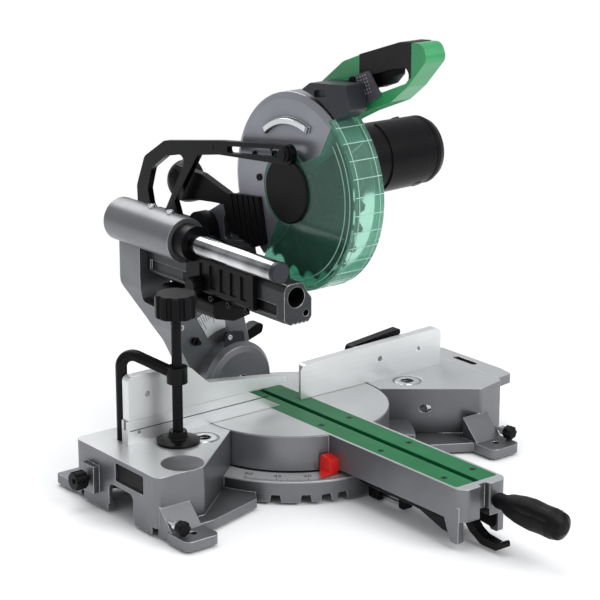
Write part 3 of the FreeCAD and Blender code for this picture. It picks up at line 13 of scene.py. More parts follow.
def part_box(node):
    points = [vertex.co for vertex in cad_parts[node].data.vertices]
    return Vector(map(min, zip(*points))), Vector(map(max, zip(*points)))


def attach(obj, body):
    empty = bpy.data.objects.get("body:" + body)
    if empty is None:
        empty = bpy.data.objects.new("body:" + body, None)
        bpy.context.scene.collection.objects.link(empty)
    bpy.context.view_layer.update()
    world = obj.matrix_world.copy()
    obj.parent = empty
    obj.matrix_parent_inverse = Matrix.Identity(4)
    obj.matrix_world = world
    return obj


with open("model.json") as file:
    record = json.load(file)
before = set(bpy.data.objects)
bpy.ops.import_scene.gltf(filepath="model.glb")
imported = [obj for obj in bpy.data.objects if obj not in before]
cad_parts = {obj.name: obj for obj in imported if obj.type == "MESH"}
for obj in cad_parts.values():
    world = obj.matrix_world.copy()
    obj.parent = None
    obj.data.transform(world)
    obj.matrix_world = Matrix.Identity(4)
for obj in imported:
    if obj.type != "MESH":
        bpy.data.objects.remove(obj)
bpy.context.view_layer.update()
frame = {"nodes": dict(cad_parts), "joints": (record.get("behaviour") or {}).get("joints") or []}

log = logging.getLogger("miter_saw")

MM = 0.001
Point = tuple[float, float, float]
Outline = Sequence[tuple[float, float]]
Colour = tuple[float, float, float]
Socket = bpy.types.NodeSocket

SMOOTH_LIMIT = math.radians(32.0)


# ---- places taken from the frame ----------------------------------------------------------------------
@dataclass(frozen=True)
class Box:
    """A CAD node's box at rest, in millimetres."""

    x0: float
    x1: float
    y0: float
    y1: float
    z0: float
    z1: float

    @classmethod
    def of(cls, node: str) -> "Box":
        """Measure a node.

        Args:
            node: The CAD node's name.

        Returns:
            Its box in millimetres.
        """
        low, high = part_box(node)
        return cls(low.x / MM, high.x / MM, low.y / MM, high.y / MM, low.z / MM, high.z / MM)

    @property
    def centre(self) -> Vector:
        """Middle of the box."""
        return Vector((self.x0 + self.x1, self.y0 + self.y1, self.z0 + self.z1)) / 2


def pivot(joint: str) -> Vector:
    """Find a joint's point.

    Args:
        joint: The joint's name in the record.

    Returns:
        A point on its axis at rest, in millimetres.
    """
    found = next(j for j in frame["joints"] if j["name"] == joint)
    return Vector(found["pos_m"]) / MM


class Axis(Enum):
    """The row axis that a form is turned round or extruded along."""

    X = 0
    Y = 1
    Z = 2

    def turn(self) -> Matrix:
        """Rotation that takes a form drawn along +Z onto this axis.

        Returns:
            A 4x4 matrix: the drawing's first and second directions become (Y, Z), (X, Z) or (X, Y).
        """
        rows = {
            Axis.X: ((0, 0, 1), (1, 0, 0), (0, 1, 0)),
            Axis.Y: ((1, 0, 0), (0, 0, 1), (0, 1, 0)),
            Axis.Z: ((1, 0, 0), (0, 1, 0), (0, 0, 1)),
        }[self]
        return Matrix(rows).to_4x4()


# ---- forms --------------------------------------------------------------------------------------------
def rectangle(left: float, right: float, low: float, high: float) -> Outline:
    """Corners of a rectangle.

    Args:
        left: Its lower limit in the first direction.
        right: Its upper limit in the first direction.
        low: Its lower limit in the second direction.
        high: Its upper limit in the second direction.

    Returns:
        The outline.
    """
    return [(left, low), (right, low), (right, high), (left, high)]


class Form:
    """A mesh under construction, in millimetres in the row frame."""

    def __init__(self) -> None:
        """Start with an empty mesh."""
        self.bm = bmesh.new()

    def _take(self, other: bmesh.types.BMesh, matrix: Matrix) -> "Form":
        """Add another mesh through a matrix.

        Args:
            other: The mesh to add, freed afterwards.
            matrix: Its placement.

        Returns:
            This form.
        """
        bmesh.ops.transform(other, matrix=matrix, verts=other.verts)
        bmesh.ops.recalc_face_normals(other, faces=other.faces)
        mesh = bpy.data.meshes.new("scratch")
        other.to_mesh(mesh)
        other.free()
        self.bm.from_mesh(mesh)
        bpy.data.meshes.remove(mesh)
        return self

    def prism(self, outline: Outline, axis: Axis, start: float, end: float, bevel: float = 0.0) -> "Form":
        """Extrude a flat outline.

        Args:
            outline: Corners in the plane square to the axis.
            axis: The direction of extrusion.
            start: Where the extrusion begins along the axis.
            end: Where it ends.
            bevel: Width of the bevel on its edges.

        Returns:
            This form.
        """
        part = bmesh.new()
        low = [part.verts.new((u, v, start)) for u, v in outline]
        high = [part.verts.new((u, v, end)) for u, v in outline]
        part.faces.new(low)
        part.faces.new(high)
        for i, vertex in enumerate(low):
            j = (i + 1) % len(low)
            part.faces.new((vertex, low[j], high[j], high[i]))
        bmesh.ops.recalc_face_normals(part, faces=part.faces)
        if bevel > 0:
            bmesh.ops.bevel(part, geom=part.edges[:], offset=bevel, segments=2, profile=0.6, affect="EDGES",
                            clamp_overlap=True)
        return self._take(part, axis.turn())

    def box(self, x: tuple[float, float], y: tuple[float, float], z: tuple[float, float],
            bevel: float = 0.0) -> "Form":
        """Add a block between limits, as a prism with eased edges.

        Args:
            x: Its limits along X.
            y: Its limits along Y.
            z: Its limits along Z.
            bevel: Width of the eased edges.

        Returns:
            This form.
        """
        return self.prism(rectangle(*x, *y), Axis.Z, *z, bevel=bevel)

    def turned(self, profile: Outline, at: Point, axis: Axis, steps: int = 40, flip: bool = False) -> "Form":
        """Turn a profile about an axis.

        Args:
            profile: Radius and height of each corner, closed by the axis where its ends lie on it.
            at: The origin of the heights.
            axis: The axis turned about.
            steps: Number of facets round it.
            flip: Heights run against the axis.

        Returns:
            This form.
        """
        part = bmesh.new()
        rings = []
        for r, h in profile:
            height = -h if flip else h
            if r < 1e-6:
                rings.append([part.verts.new((0, 0, height))])
            else:
                angles = (2 * math.pi * k / steps for k in range(steps))
                rings.append([part.verts.new((r * math.cos(a), r * math.sin(a), height)) for a in angles])
        closed = profile[0][0] > 1e-6 or profile[-1][0] > 1e-6
        pairs = list(zip(rings, rings[1:])) + ([(rings[-1], rings[0])] if closed else [])
        for a, b in pairs:
            for k in range(steps):
                n = (k + 1) % steps
                corners = [a[k % len(a)], a[n % len(a)], b[n % len(b)], b[k % len(b)]]
                unique = list(dict.fromkeys(corners))
                if len(unique) > 2:
                    part.faces.new(unique)
        return self._take(part, Matrix.Translation(at) @ axis.turn())

    def sector(self, profile: Outline, first: float, last: float, centre: Vector, steps: int) -> "Form":
        """Sweep a section round an axis along X.

        Args:
            profile: X and radius of each corner of the section.
            first: Start of the sweep in degrees, from the rear over the top.
            last: End of the sweep.
            centre: A point on the axis.
            steps: Facets of the sweep.

        Returns:
            This form.
        """
        part = bmesh.new()
        rings = []
        for i in range(steps + 1):
            a = math.radians(first + (last - first) * i / steps)
            rings.append([part.verts.new((x, centre.y + r * math.cos(a), centre.z + r * math.sin(a)))
                          for x, r in profile])
        size = len(profile)
        for a, b in zip(rings, rings[1:]):
            for k in range(size):
                part.faces.new((a[k], a[(k + 1) % size], b[(k + 1) % size], b[k]))
        part.faces.new(rings[0])
        part.faces.new(rings[-1])
        return self._take(part, Matrix.Identity(4))

    def words(self, text: str, size: float, depth: float, matrix: Matrix) -> "Form":
        """Add raised numerals.

        Args:
            text: What they say.
            size: Height of the type.
            depth: Thickness of the raised mark.
            matrix: Placement, with the text's reading direction along its local X.

        Returns:
            This form.
        """
        curve = bpy.data.curves.new("type", "FONT")
        curve.body = text
        curve.size = size
        curve.align_x = "CENTER"
        curve.align_y = "CENTER"
        curve.extrude = depth / 2
        holder = bpy.data.objects.new("type", curve)
        bpy.context.scene.collection.objects.link(holder)
        bpy.context.view_layer.update()
        mesh = bpy.data.meshes.new_from_object(holder)
        bpy.data.objects.remove(holder)
        bpy.data.curves.remove(curve)
        part = bmesh.new()
        part.from_mesh(mesh)
        bpy.data.meshes.remove(mesh)
        return self._take(part, matrix)

    def object(self, name: str) -> bpy.types.Object:
        """Close the form into an object.

        Args:
            name: The piece's name.

        Returns:
            The object, in metres, linked to the scene.
        """
        bmesh.ops.scale(self.bm, vec=(MM, MM, MM), verts=self.bm.verts)
        for face in self.bm.faces:
            face.smooth = True
        for edge in self.bm.edges:
            if len(edge.link_faces) == 2 and edge.calc_face_angle(0.0) > SMOOTH_LIMIT:
                edge.smooth = False
        mesh = bpy.data.meshes.new(name)
        self.bm.to_mesh(mesh)
        self.bm.free()
        piece = bpy.data.objects.new(name, mesh)
        bpy.context.scene.collection.objects.link(piece)
        return piece


# ---- shader node groups -------------------------------------------------------------------------------
class Sockets:
    """Names of the groups' sockets, written once."""

    RADIUS = "Radius"
    AMOUNT = "Amount"
    SIZE = "Size"
    STRETCH = "Stretch"
    LEVEL = "Level"
    EDGE = "Edge"
    NORMAL = "Normal"
    HEIGHT = "Height"
    TONE = "Tone"
    MASK = "Mask"


class Wiring:
    """A node tree, with short ways to add the nodes that the effects share."""

    def __init__(self, tree: bpy.types.NodeTree) -> None:
        """Start on a tree.

        Args:
            tree: Where the nodes go.
        """
        self.tree = tree

    def node(self, kind: str, inputs: Sequence[object] | dict = (), **settings: object) -> bpy.types.Node:
        """Add a node.

        Args:
            kind: Its type, without Blender's "ShaderNode".
            inputs: A value or socket for each input, in order or by name.
            **settings: Its own properties.

        Returns:
            The node.
        """
        node = self.tree.nodes.new("ShaderNode" + kind)
        for name, value in settings.items():
            setattr(node, name, value)
        for key, value in inputs.items() if isinstance(inputs, dict) else enumerate(inputs):
            if isinstance(value, Socket):
                self.tree.links.new(value, node.inputs[key])
            else:
                node.inputs[key].default_value = value
        return node

    def maths(self, operation: str, a: object, b: object = 0.0, clamp: bool = False) -> Socket:
        """Combine two numbers.

        Args:
            operation: Blender's name of the operation.
            a: First value or socket.
            b: Second value or socket.
            clamp: Keep the result between 0 and 1.

        Returns:
            The result.
        """
        return self.node("Math", (a, b), operation=operation, use_clamp=clamp).outputs[0]

    def vector(self, operation: str, *values: object) -> Socket:
        """Combine vectors.

        Args:
            operation: Blender's name of the operation.
            *values: Vectors or sockets.

        Returns:
            The result, a number for a length or a dot product.
        """
        node = self.node("VectorMath", values, operation=operation)
        return node.outputs["Value" if operation in ("LENGTH", "DOT_PRODUCT") else "Vector"]

    def place(self) -> Socket:
        """Coordinates on the object, in metres."""
        return self.node("TexCoord").outputs["Object"]

    def facing(self, part: str) -> Socket:
        """One part, X, Y or Z, of the surface's direction."""
        return self.node("SeparateXYZ", (self.node("TexCoord").outputs["Normal"],)).outputs[part]

    def noise(self, vector: Socket, scale: object, detail: float = 2.0, rough: float = 0.5) -> Socket:
        """Value of a noise texture."""
        inputs = {"Vector": vector, "Scale": scale, "Detail": detail, "Roughness": rough}
        return self.node("TexNoise", inputs).outputs["Fac"]

    def seen(self) -> Socket:
        """1 for rays from the camera, also through clear pieces."""
        path = self.node("LightPath").outputs
        return self.maths("MAXIMUM", path["Is Camera Ray"], path["Is Transmission Ray"])


class NodeGroup:
    """A shader node group that is built once and placed in any material."""

    name = "Group"
    inputs: dict[str, object] = {}
    outputs: tuple[str, ...] = ()

    @classmethod
    def tree(cls) -> bpy.types.NodeTree:
        """Build the group, or find it.

        Returns:
            The node tree.
        """
        known = bpy.data.node_groups.get(cls.name)
        if known:
            return known
        tree = bpy.data.node_groups.new(cls.name, "ShaderNodeTree")
        for name, value in cls.inputs.items():
            kind = "NodeSocketFloat" if isinstance(value, float) else "NodeSocketVector"
            tree.interface.new_socket(name, in_out="INPUT", socket_type=kind).default_value = value
        for name in cls.outputs:
            kind = "NodeSocketVector" if name == Sockets.NORMAL else "NodeSocketFloat"
            tree.interface.new_socket(name, in_out="OUTPUT", socket_type=kind)
        source = tree.nodes.new("NodeGroupInput")
        sink = tree.nodes.new("NodeGroupOutput")
        for name, result in zip(cls.outputs, cls.fill(Wiring(tree), source.outputs)):
            tree.links.new(result, sink.inputs[name])
        return tree

    @classmethod
    def fill(cls, wires: Wiring, given: Mapping[str, Socket]) -> tuple[Socket, ...]:
        """Wire the group's inside.

        Args:
            wires: The new group.
            given: Its inputs.

        Returns:
            A result for each output.
        """
        raise NotImplementedError


class SoftEdge(NodeGroup):
    """Rounds sharp edges in the shading and finds where paint wears through on them."""

    name = "Soft Edge"
    inputs = {Sockets.RADIUS: 0.0006, Sockets.AMOUNT: 0.5}
    outputs = (Sockets.NORMAL, Sockets.EDGE)

    @classmethod
    def fill(cls, wires: Wiring, given: Mapping[str, Socket]) -> tuple[Socket, ...]:
        """Compare the rounded normal with the true one, broken up by noise."""
        rounded = wires.node("Bevel", {"Radius": given[Sockets.RADIUS]}, samples=4).outputs[0]
        normal = wires.node("NewGeometry").outputs["Normal"]
        bend = wires.maths("SUBTRACT", 1.0, wires.vector("DOT_PRODUCT", rounded, normal))
        patches = wires.maths("MULTIPLY", wires.noise(wires.place(), 90.0, 3.0), 1.7)
        strength = wires.maths("MULTIPLY", given[Sockets.AMOUNT], patches)
        return rounded, wires.maths("MULTIPLY", wires.maths("MULTIPLY", bend, 6.0), strength, clamp=True)


class FineGrain(NodeGroup):
    """Even small-scale grain, as on powder paint, moulded plastic or rubber."""

    name = "Fine Grain"
    inputs = {Sockets.SIZE: 0.0008}
    outputs = (Sockets.HEIGHT, Sockets.TONE)

    @classmethod
    def fill(cls, wires: Wiring, given: Mapping[str, Socket]) -> tuple[Socket, ...]:
        """Fine noise for the height, broad noise for the tone."""
        place = wires.place()
        fine = wires.noise(place, wires.maths("DIVIDE", 1.0, given[Sockets.SIZE]), 2.0, 0.6)
        return fine, wires.noise(place, 22.0, 3.0, 0.55)


class DrawnLines(NodeGroup):
    """Lines left by milling, grinding or drawing, stretched along one direction."""

    name = "Drawn Lines"
    inputs = {Sockets.STRETCH: (20.0, 2000.0, 2000.0)}
    outputs = (Sockets.HEIGHT, Sockets.TONE)

    @classmethod
    def fill(cls, wires: Wiring, given: Mapping[str, Socket]) -> tuple[Socket, ...]:
        """Noise in stretched coordinates, with broad cloudy variation over it."""
        place = wires.place()
        lines = wires.noise(wires.vector("MULTIPLY", place, given[Sockets.STRETCH]), 1.0, 2.0, 0.6)
        cloud = wires.noise(place, 16.0, 3.0, 0.6)
        tone = wires.maths("ADD", wires.maths("MULTIPLY", lines, 0.55), wires.maths("MULTIPLY", cloud, 0.45))
        return lines, tone


class RadialLines(NodeGroup):
    """Turning marks round an axis along X, as on a ground saw blade."""

    name = "Radial Lines"
    inputs = {Sockets.LEVEL: (0.0, 0.0, 0.0), Sockets.SIZE: 0.0006}
    outputs = (Sockets.HEIGHT, Sockets.TONE)

    @classmethod
    def fill(cls, wires: Wiring, given: Mapping[str, Socket]) -> tuple[Socket, ...]:
        """Noise over the distance from the axis."""
        place = wires.place()
        off = wires.vector("SUBTRACT", place, given[Sockets.LEVEL])
        across = wires.vector("MULTIPLY", off, (0.0, 1.0, 1.0))
        radius = wires.maths("DIVIDE", wires.vector("LENGTH", across), given[Sockets.SIZE])
        lines = wires.noise(wires.node("CombineXYZ", {"X": radius}).outputs[0], 1.0, 2.0, 0.6)
        return lines, wires.noise(place, 30.0)


class MilledFace(NodeGroup):
    """Finds the level faces at one height, which are milled after painting."""

    name = "Milled Face"
    inputs = {Sockets.LEVEL: 0.0715}
    outputs = (Sockets.MASK,)

    @classmethod
    def fill(cls, wires: Wiring, given: Mapping[str, Socket]) -> tuple[Socket, ...]:
        """Pass faces that look up and lie at the level."""
        height = wires.node("SeparateXYZ", (wires.place(),)).outputs["Z"]
        off = wires.maths("ABSOLUTE", wires.maths("SUBTRACT", height, given[Sockets.LEVEL]))
        near = wires.maths("LESS_THAN", off, 0.0004)
        return (wires.maths("MULTIPLY", near, wires.maths("GREATER_THAN", wires.facing("Z"), 0.95)),)


class HollowShade(NodeGroup):
    """Finds recesses, where the paint is darkened as painted shade."""

    name = "Painted Hollow Shade"
    inputs = {Sockets.RADIUS: 0.02}
    outputs = (Sockets.MASK,)

    @classmethod
    def fill(cls, wires: Wiring, given: Mapping[str, Socket]) -> tuple[Socket, ...]:
        """Share of the surroundings within reach that is covered."""
        reach = {"Distance": given[Sockets.RADIUS]}
        cover = wires.node("AmbientOcclusion", reach, samples=4, only_local=True)
        hidden = wires.maths("SUBTRACT", 1.0, cover.outputs["AO"])
        return (wires.maths("MULTIPLY", hidden, 1.3, clamp=True),)


class SettledDust(NodeGroup):
    """Thin sawdust that has settled on faces that look up."""

    name = "Settled Dust"
    inputs = {Sockets.AMOUNT: 0.3}
    outputs = (Sockets.MASK,)

    @classmethod
    def fill(cls, wires: Wiring, given: Mapping[str, Socket]) -> tuple[Socket, ...]:
        """Upward facing share times cloudy noise."""
        up = wires.maths("MAXIMUM", wires.facing("Z"), 0.0)
        cloud = wires.maths("MULTIPLY", wires.noise(wires.place(), 60.0, 4.0, 0.65), up)
        return (wires.maths("MULTIPLY", cloud, given[Sockets.AMOUNT], clamp=True),)


# ---- finishes -----------------------------------------------------------------------------------------
SAWDUST = (0.50, 0.47, 0.42)


def toned(colour: Colour, factor: float, lift: float = 0.0) -> Colour:
    """Make a colour lighter or darker.

    Args:
        colour: The colour.
        factor: What it is multiplied by.
        lift: What is added after that.

    Returns:
        The new colour, 1 at most in each channel.
    """
    return tuple(min(1.0, c * factor + lift) for c in colour)


class Bench(Wiring):
    """One material being put together round its Principled shader."""

    def __init__(self, name: str) -> None:
        """Start a material.

        Args:
            name: The material's name.
        """
        self.material = bpy.data.materials.new(name)
        self.material.use_nodes = True
        super().__init__(self.material.node_tree)
        self.shader = self.tree.nodes["Principled BSDF"]

    def set(self, **values: object) -> None:
        """Set plain values on the shader.

        Args:
            **values: Socket names with underscores for spaces, and their values.
        """
        for name, value in values.items():
            self.shader.inputs[name.replace("_", " ")].default_value = value

    def group(self, kind: type[NodeGroup], **values: object) -> Mapping[str, Socket]:
        """Place a node group.

        Args:
            kind: The group's class.
            **values: Its input values.

        Returns:
            Its outputs.
        """
        return self.node("Group", values, node_tree=kind.tree()).outputs

    def blend(self, factor: Socket, a: object, b: object) -> Socket:
        """Mix two colours.

        Args:
            factor: 0 gives the first colour, 1 the second.
            a: First colour or socket.
            b: Second colour or socket.

        Returns:
            The mixed colour.
        """
        a, b = ((*c, 1.0) if isinstance(c, tuple) else c for c in (a, b))
        return self.node("Mix", {"Factor": factor, 6: a, 7: b}, data_type="RGBA").outputs[2]

    def ramp(self, factor: Socket, low: float, high: float) -> Socket:
        """Map a 0 to 1 value linearly onto a range.

        Args:
            factor: The value.
            low: Result at 0.
            high: Result at 1.

        Returns:
            The mapped value.
        """
        return self.maths("ADD", self.maths("MULTIPLY", factor, high - low), low)

    def surface(self, colour: Socket, rough: Socket) -> None:
        """Feed the shader's colour and roughness."""
        self.tree.links.new(colour, self.shader.inputs["Base Color"])
        self.tree.links.new(rough, self.shader.inputs["Roughness"])

    def relief(self, height: Socket, distance: float, strength: float = 1.0,
               normal: Optional[Socket] = None) -> None:
        """Feed the normal through a bump.

        Args:
            height: The height value.
            distance: Its depth in metres.
            strength: How much of it shows.
            normal: The normal that it is laid over.
        """
        inputs = {"Distance": distance, "Strength": strength, "Height": height}
        if normal is not None:
            inputs["Normal"] = normal
        self.tree.links.new(self.node("Bump", inputs).outputs[0], self.shader.inputs["Normal"])


@dataclass(frozen=True)
class Finish:
    """A surface finish, made into one material when it is first asked for."""

    name: str

    def material(self) -> bpy.types.Material:
        """Find the material, or make it.

        Returns:
            The material.
        """
        known = bpy.data.materials.get(self.name)
        if known:
            return known
        bench = Bench(self.name)
        self.lay(bench)
        return bench.material

    def lay(self, bench: Bench) -> None:
        """Wire the finish.

        Args:
            bench: The new material.
        """
        raise NotImplementedError


@dataclass(frozen=True)
class CastPaint(Finish):
    """Metallic powder paint over a casting, with painted shade in its recesses, worn edges that also carry a
    painted highlight, and milled faces where a level is given.
    """

    colour: Colour = (0.215, 0.218, 0.23)
    shade: Colour = (0.15, 0.153, 0.163)
    bare: Colour = (0.66, 0.67, 0.68)
    roughness: float = 0.36
    metallic: float = 0.72
    grain: float = 0.0007
    milled_level: Optional[float] = None

    def lay(self, bench: Bench) -> None:
        """Paint, grain, painted shade in recesses, edge wear with a painted highlight, dust and milled faces.
        """
        edge = bench.group(SoftEdge, Radius=0.0014, Amount=0.9)
        grain = bench.group(FineGrain, Size=self.grain)
        dust = bench.group(SettledDust, Amount=0.06)
        painted_shade = bench.group(HollowShade, Radius=0.03)
        paint = bench.blend(grain[Sockets.TONE], self.shade, self.colour)
        # painted shade: recesses darkened towards a deep tone of the paint
        paint = bench.blend(painted_shade[Sockets.MASK], paint, toned(self.shade, 0.35))
        # edge wear, also lightened as painted highlight along the casting's edges
        paint = bench.blend(edge[Sockets.EDGE], paint, self.bare)
        if self.milled_level is not None:
            face = bench.group(MilledFace, Level=self.milled_level)
            lines = bench.group(DrawnLines, Stretch=(12.0, 1400.0, 1400.0))
            metal = bench.blend(lines[Sockets.TONE], (0.44, 0.45, 0.455), (0.68, 0.69, 0.695))
            paint = bench.blend(face[Sockets.MASK], paint, metal)
        paint = bench.blend(dust[Sockets.MASK], paint, SAWDUST)
        bench.set(Metallic=self.metallic)
        bench.surface(paint, bench.ramp(grain[Sockets.TONE], self.roughness + 0.05, self.roughness - 0.05))
        bench.relief(grain[Sockets.HEIGHT], 0.00008, 0.5, edge[Sockets.NORMAL])


@dataclass(frozen=True)
class MilledMetal(Finish):
    """Bare milled or ground metal with fine lines along one direction."""

    low: Colour = (0.60, 0.61, 0.615)
    high: Colour = (0.84, 0.85, 0.85)
    stretch: Point = (14.0, 1500.0, 1500.0)
    roughness: float = 0.36
    metallic: float = 0.7

    def lay(self, bench: Bench) -> None:
        """Lines in colour, roughness and relief."""
        edge = bench.group(SoftEdge, Radius=0.0006, Amount=0.4)
        lines = bench.group(DrawnLines, Stretch=self.stretch)
        dust = bench.group(SettledDust, Amount=0.08)
        metal = bench.blend(lines[Sockets.TONE], self.low, self.high)
        metal = bench.blend(edge[Sockets.EDGE], metal, (0.93, 0.93, 0.93))
        metal = bench.blend(dust[Sockets.MASK], metal, SAWDUST)
        bench.set(Metallic=self.metallic)
        bench.surface(metal, bench.ramp(lines[Sockets.TONE], self.roughness + 0.12, self.roughness - 0.1))
        bench.relief(lines[Sockets.HEIGHT], 0.00002, 0.5, edge[Sockets.NORMAL])


@dataclass(frozen=True)
class Plate(Finish):
    """Bright steel or chrome, with faint smears and drawing lines; a raised contrast turns the lines into
    painted reflection bands, as on the chrome pole.
    """

    low: Colour = (0.52, 0.53, 0.54)
    high: Colour = (0.80, 0.81, 0.82)
    stretch: Point = (900.0, 20.0, 900.0)
    roughness: float = 0.12
    depth: float = 0.000008
    contrast: float = 1.0

    def lay(self, bench: Bench) -> None:
        """Full metal with streaky colour and roughness; at high contrast the streaks are painted reflections.
        """
        edge = bench.group(SoftEdge, Radius=0.0005, Amount=0.3)
        lines = bench.group(DrawnLines, Stretch=self.stretch)
        streaks_and_painted_reflections = bench.maths("MULTIPLY", bench.maths("SUBTRACT", lines[Sockets.TONE], 0.5), self.contrast)
        streaks_and_painted_reflections = bench.maths("ADD", streaks_and_painted_reflections, 0.5, clamp=True)
        gloss = max(0.02, self.roughness - 0.06)
        bench.set(Metallic=1.0)
        bench.surface(bench.blend(streaks_and_painted_reflections, self.low, self.high),
                      bench.ramp(lines[Sockets.TONE], self.roughness + 0.12, gloss))
        bench.relief(lines[Sockets.HEIGHT], self.depth, 0.4, edge[Sockets.NORMAL])


@dataclass(frozen=True)
class Moulding(Finish):
    """Moulded plastic, painted sheet or rubber: grain, rubbed edges and a little dust."""

    colour: Colour = (0.018, 0.018, 0.02)
    worn: Colour = (0.10, 0.10, 0.105)
    roughness: float = 0.42
    grain: float = 0.0006
    depth: float = 0.00007
    coat: float = 0.0
    dust: float = 0.03
    specular: float = 0.5

    def lay(self, bench: Bench) -> None:
        """Grain in colour, roughness and relief."""
        edge = bench.group(SoftEdge, Radius=0.0008, Amount=0.45)
        grain = bench.group(FineGrain, Size=self.grain)
        dust = bench.group(SettledDust, Amount=self.dust)
        colour = bench.blend(grain[Sockets.TONE], toned(self.colour, 0.82), toned(self.colour, 1.18))
        colour = bench.blend(edge[Sockets.EDGE], colour, self.worn)
        colour = bench.blend(dust[Sockets.MASK], colour, (0.42, 0.39, 0.35))
        bench.set(Coat_Weight=self.coat, Coat_Roughness=0.12, Specular_IOR_Level=self.specular)
        bench.surface(colour, bench.ramp(grain[Sockets.TONE], self.roughness + 0.07, self.roughness - 0.06))
        bench.relief(grain[Sockets.HEIGHT], self.depth, 0.6, edge[Sockets.NORMAL])


@dataclass(frozen=True)
class ClearGuard(Finish):
    """Tinted clear polycarbonate, faintly scuffed, with painted shade darkening its flat sides and painted
    highlight lightening its rim and edges.
    """

    colour: Colour = (0.40, 0.74, 0.60)
    flat_colour: Colour = (0.13, 0.38, 0.28)
    transmission: float = 0.88

    def lay(self, bench: Bench) -> None:
        """Tinted glass-like plastic with scuffs in its colour and roughness, painted shade on the flat sides
        and painted highlight on the rim and edges.
        """
        edge = bench.group(SoftEdge, Radius=0.0008, Amount=0.6)
        scuffs = bench.group(DrawnLines, Stretch=(500.0, 60.0, 60.0))
        sideways = bench.maths("ABSOLUTE", bench.facing("X"))
        # painted shade on the flat sides; the rim keeps the lighter colour as painted highlight
        tint_and_painted_shade = bench.blend(sideways, self.colour, self.flat_colour)
        cloud = bench.maths("MULTIPLY", bench.ramp(scuffs[Sockets.TONE], -0.25, 0.75),
                            bench.ramp(sideways, 1.0, 0.2), clamp=True)
        colour = bench.blend(cloud, tint_and_painted_shade, toned(self.colour, 1.2, 0.05))
        # painted highlight: edges lightened towards pale green
        colour = bench.blend(edge[Sockets.EDGE], colour, (0.75, 0.95, 0.85))
        bench.set(Transmission_Weight=self.transmission, IOR=1.3)
        bench.surface(colour, bench.ramp(scuffs[Sockets.TONE], 0.20, 0.06))
        bench.relief(scuffs[Sockets.HEIGHT], 0.00002, 0.4, edge[Sockets.NORMAL])


@dataclass(frozen=True)
class SawSteel(Finish):
    """Ground blade steel with turning marks about the arbor."""

    centre: Point = (0.0, 0.0, 0.0)

    def lay(self, bench: Bench) -> None:
        """Turning marks in colour, roughness and relief."""
        lines = bench.group(RadialLines, Level=self.centre, Size=0.0007)
        metal = bench.blend(lines[Sockets.HEIGHT], (0.09, 0.092, 0.095), (0.26, 0.265, 0.27))
        bench.set(Metallic=1.0)
        bench.surface(metal, bench.ramp(lines[Sockets.TONE], 0.36, 0.20))
        bench.relief(lines[Sockets.HEIGHT], 0.00002, 0.5)


@dataclass(frozen=True)
class Windings(Finish):
    """Laminated motor iron, with fine sheet lines across the axis."""

    def lay(self, bench: Bench) -> None:
        """Sheet lines and varnish."""
        lines = bench.group(DrawnLines, Stretch=(2500.0, 12.0, 12.0))
        iron = bench.blend(lines[Sockets.TONE], (0.10, 0.08, 0.06), (0.42, 0.36, 0.30))
        bench.set(Metallic=0.7, Coat_Weight=0.3)
        bench.surface(iron, bench.ramp(lines[Sockets.TONE], 0.5, 0.32))
        bench.relief(lines[Sockets.HEIGHT], 0.00006)


TABLE_LEVEL = Box.of("kerf_inserts").z1

CAST = CastPaint("cast_paint")
HEAD_CAST = CastPaint("head_cast_paint", colour=(0.33, 0.335, 0.37), shade=(0.25, 0.255, 0.285),
                      roughness=0.30)
RAIL_CAST = CastPaint("rail_paint", colour=(0.045, 0.046, 0.05), shade=(0.028, 0.029, 0.031), roughness=0.32)
CAST_MILLED = CastPaint("cast_paint_milled", milled_level=TABLE_LEVEL * MM)
MILLED = MilledMetal("milled_aluminium")
SCALE_STRIP = MilledMetal("scale_strip", low=(0.62, 0.63, 0.64), high=(0.78, 0.79, 0.80),
                          stretch=(600.0, 600.0, 600.0), roughness=0.4)
# chrome pole: the strong dark and light bands along it are painted reflections
CHROME = Plate("chrome_plate", low=(0.05, 0.05, 0.052), high=(0.74, 0.75, 0.76), stretch=(170.0, 1.5, 170.0),
               roughness=0.10, contrast=3.2)
POLISHED = Plate("polished_rib", low=(0.55, 0.56, 0.57), high=(0.86, 0.87, 0.88), roughness=0.14)
STEEL = Plate("bright_steel", roughness=0.24, depth=0.00002)
DARK_STEEL = Plate("blackened_steel", low=(0.010, 0.010, 0.011), high=(0.035, 0.035, 0.038), roughness=0.3)
BLACK = Moulding("black_moulding", colour=(0.0040, 0.0038, 0.0046), worn=(0.035, 0.035, 0.04), roughness=0.36,
                 specular=0.11, dust=0.008)
BLACK_PAINT = Moulding("black_enamel", colour=(0.0028, 0.0028, 0.0032), worn=(0.05, 0.05, 0.055),
                       roughness=0.25, grain=0.0012, depth=0.00003, coat=0.03, specular=0.12, dust=0.006)
RUBBER = Moulding("soft_rubber", colour=(0.016, 0.0145, 0.0145), worn=(0.04, 0.04, 0.04), roughness=0.62,
                  grain=0.0011, depth=0.00035, specular=0.2, dust=0.015)
GREEN = Moulding("green_moulding", colour=(0.026, 0.27, 0.095), worn=(0.12, 0.45, 0.22), roughness=0.33,
                 grain=0.0007, depth=0.00005, coat=0.10)
GREEN_PLATE = Moulding("green_table_plate", colour=(0.011, 0.15, 0.052), worn=(0.10, 0.36, 0.18),
                       roughness=0.38, specular=0.15, dust=0.01)
GREY = Moulding("grey_moulding", colour=(0.062, 0.06, 0.070), worn=(0.2, 0.2, 0.22), roughness=0.40,
                specular=0.4)
DARK_GREY = Moulding("dark_grey_moulding", colour=(0.019, 0.020, 0.026), worn=(0.10, 0.10, 0.11),
                     roughness=0.34, specular=0.3, dust=0.01)
RED = Moulding("red_moulding", colour=(0.72, 0.010, 0.008), worn=(0.85, 0.2, 0.15), roughness=0.3, coat=0.15)
INK = Moulding("scale_ink", colour=(0.02, 0.02, 0.022), worn=(0.02, 0.02, 0.022), roughness=0.5, dust=0.0)
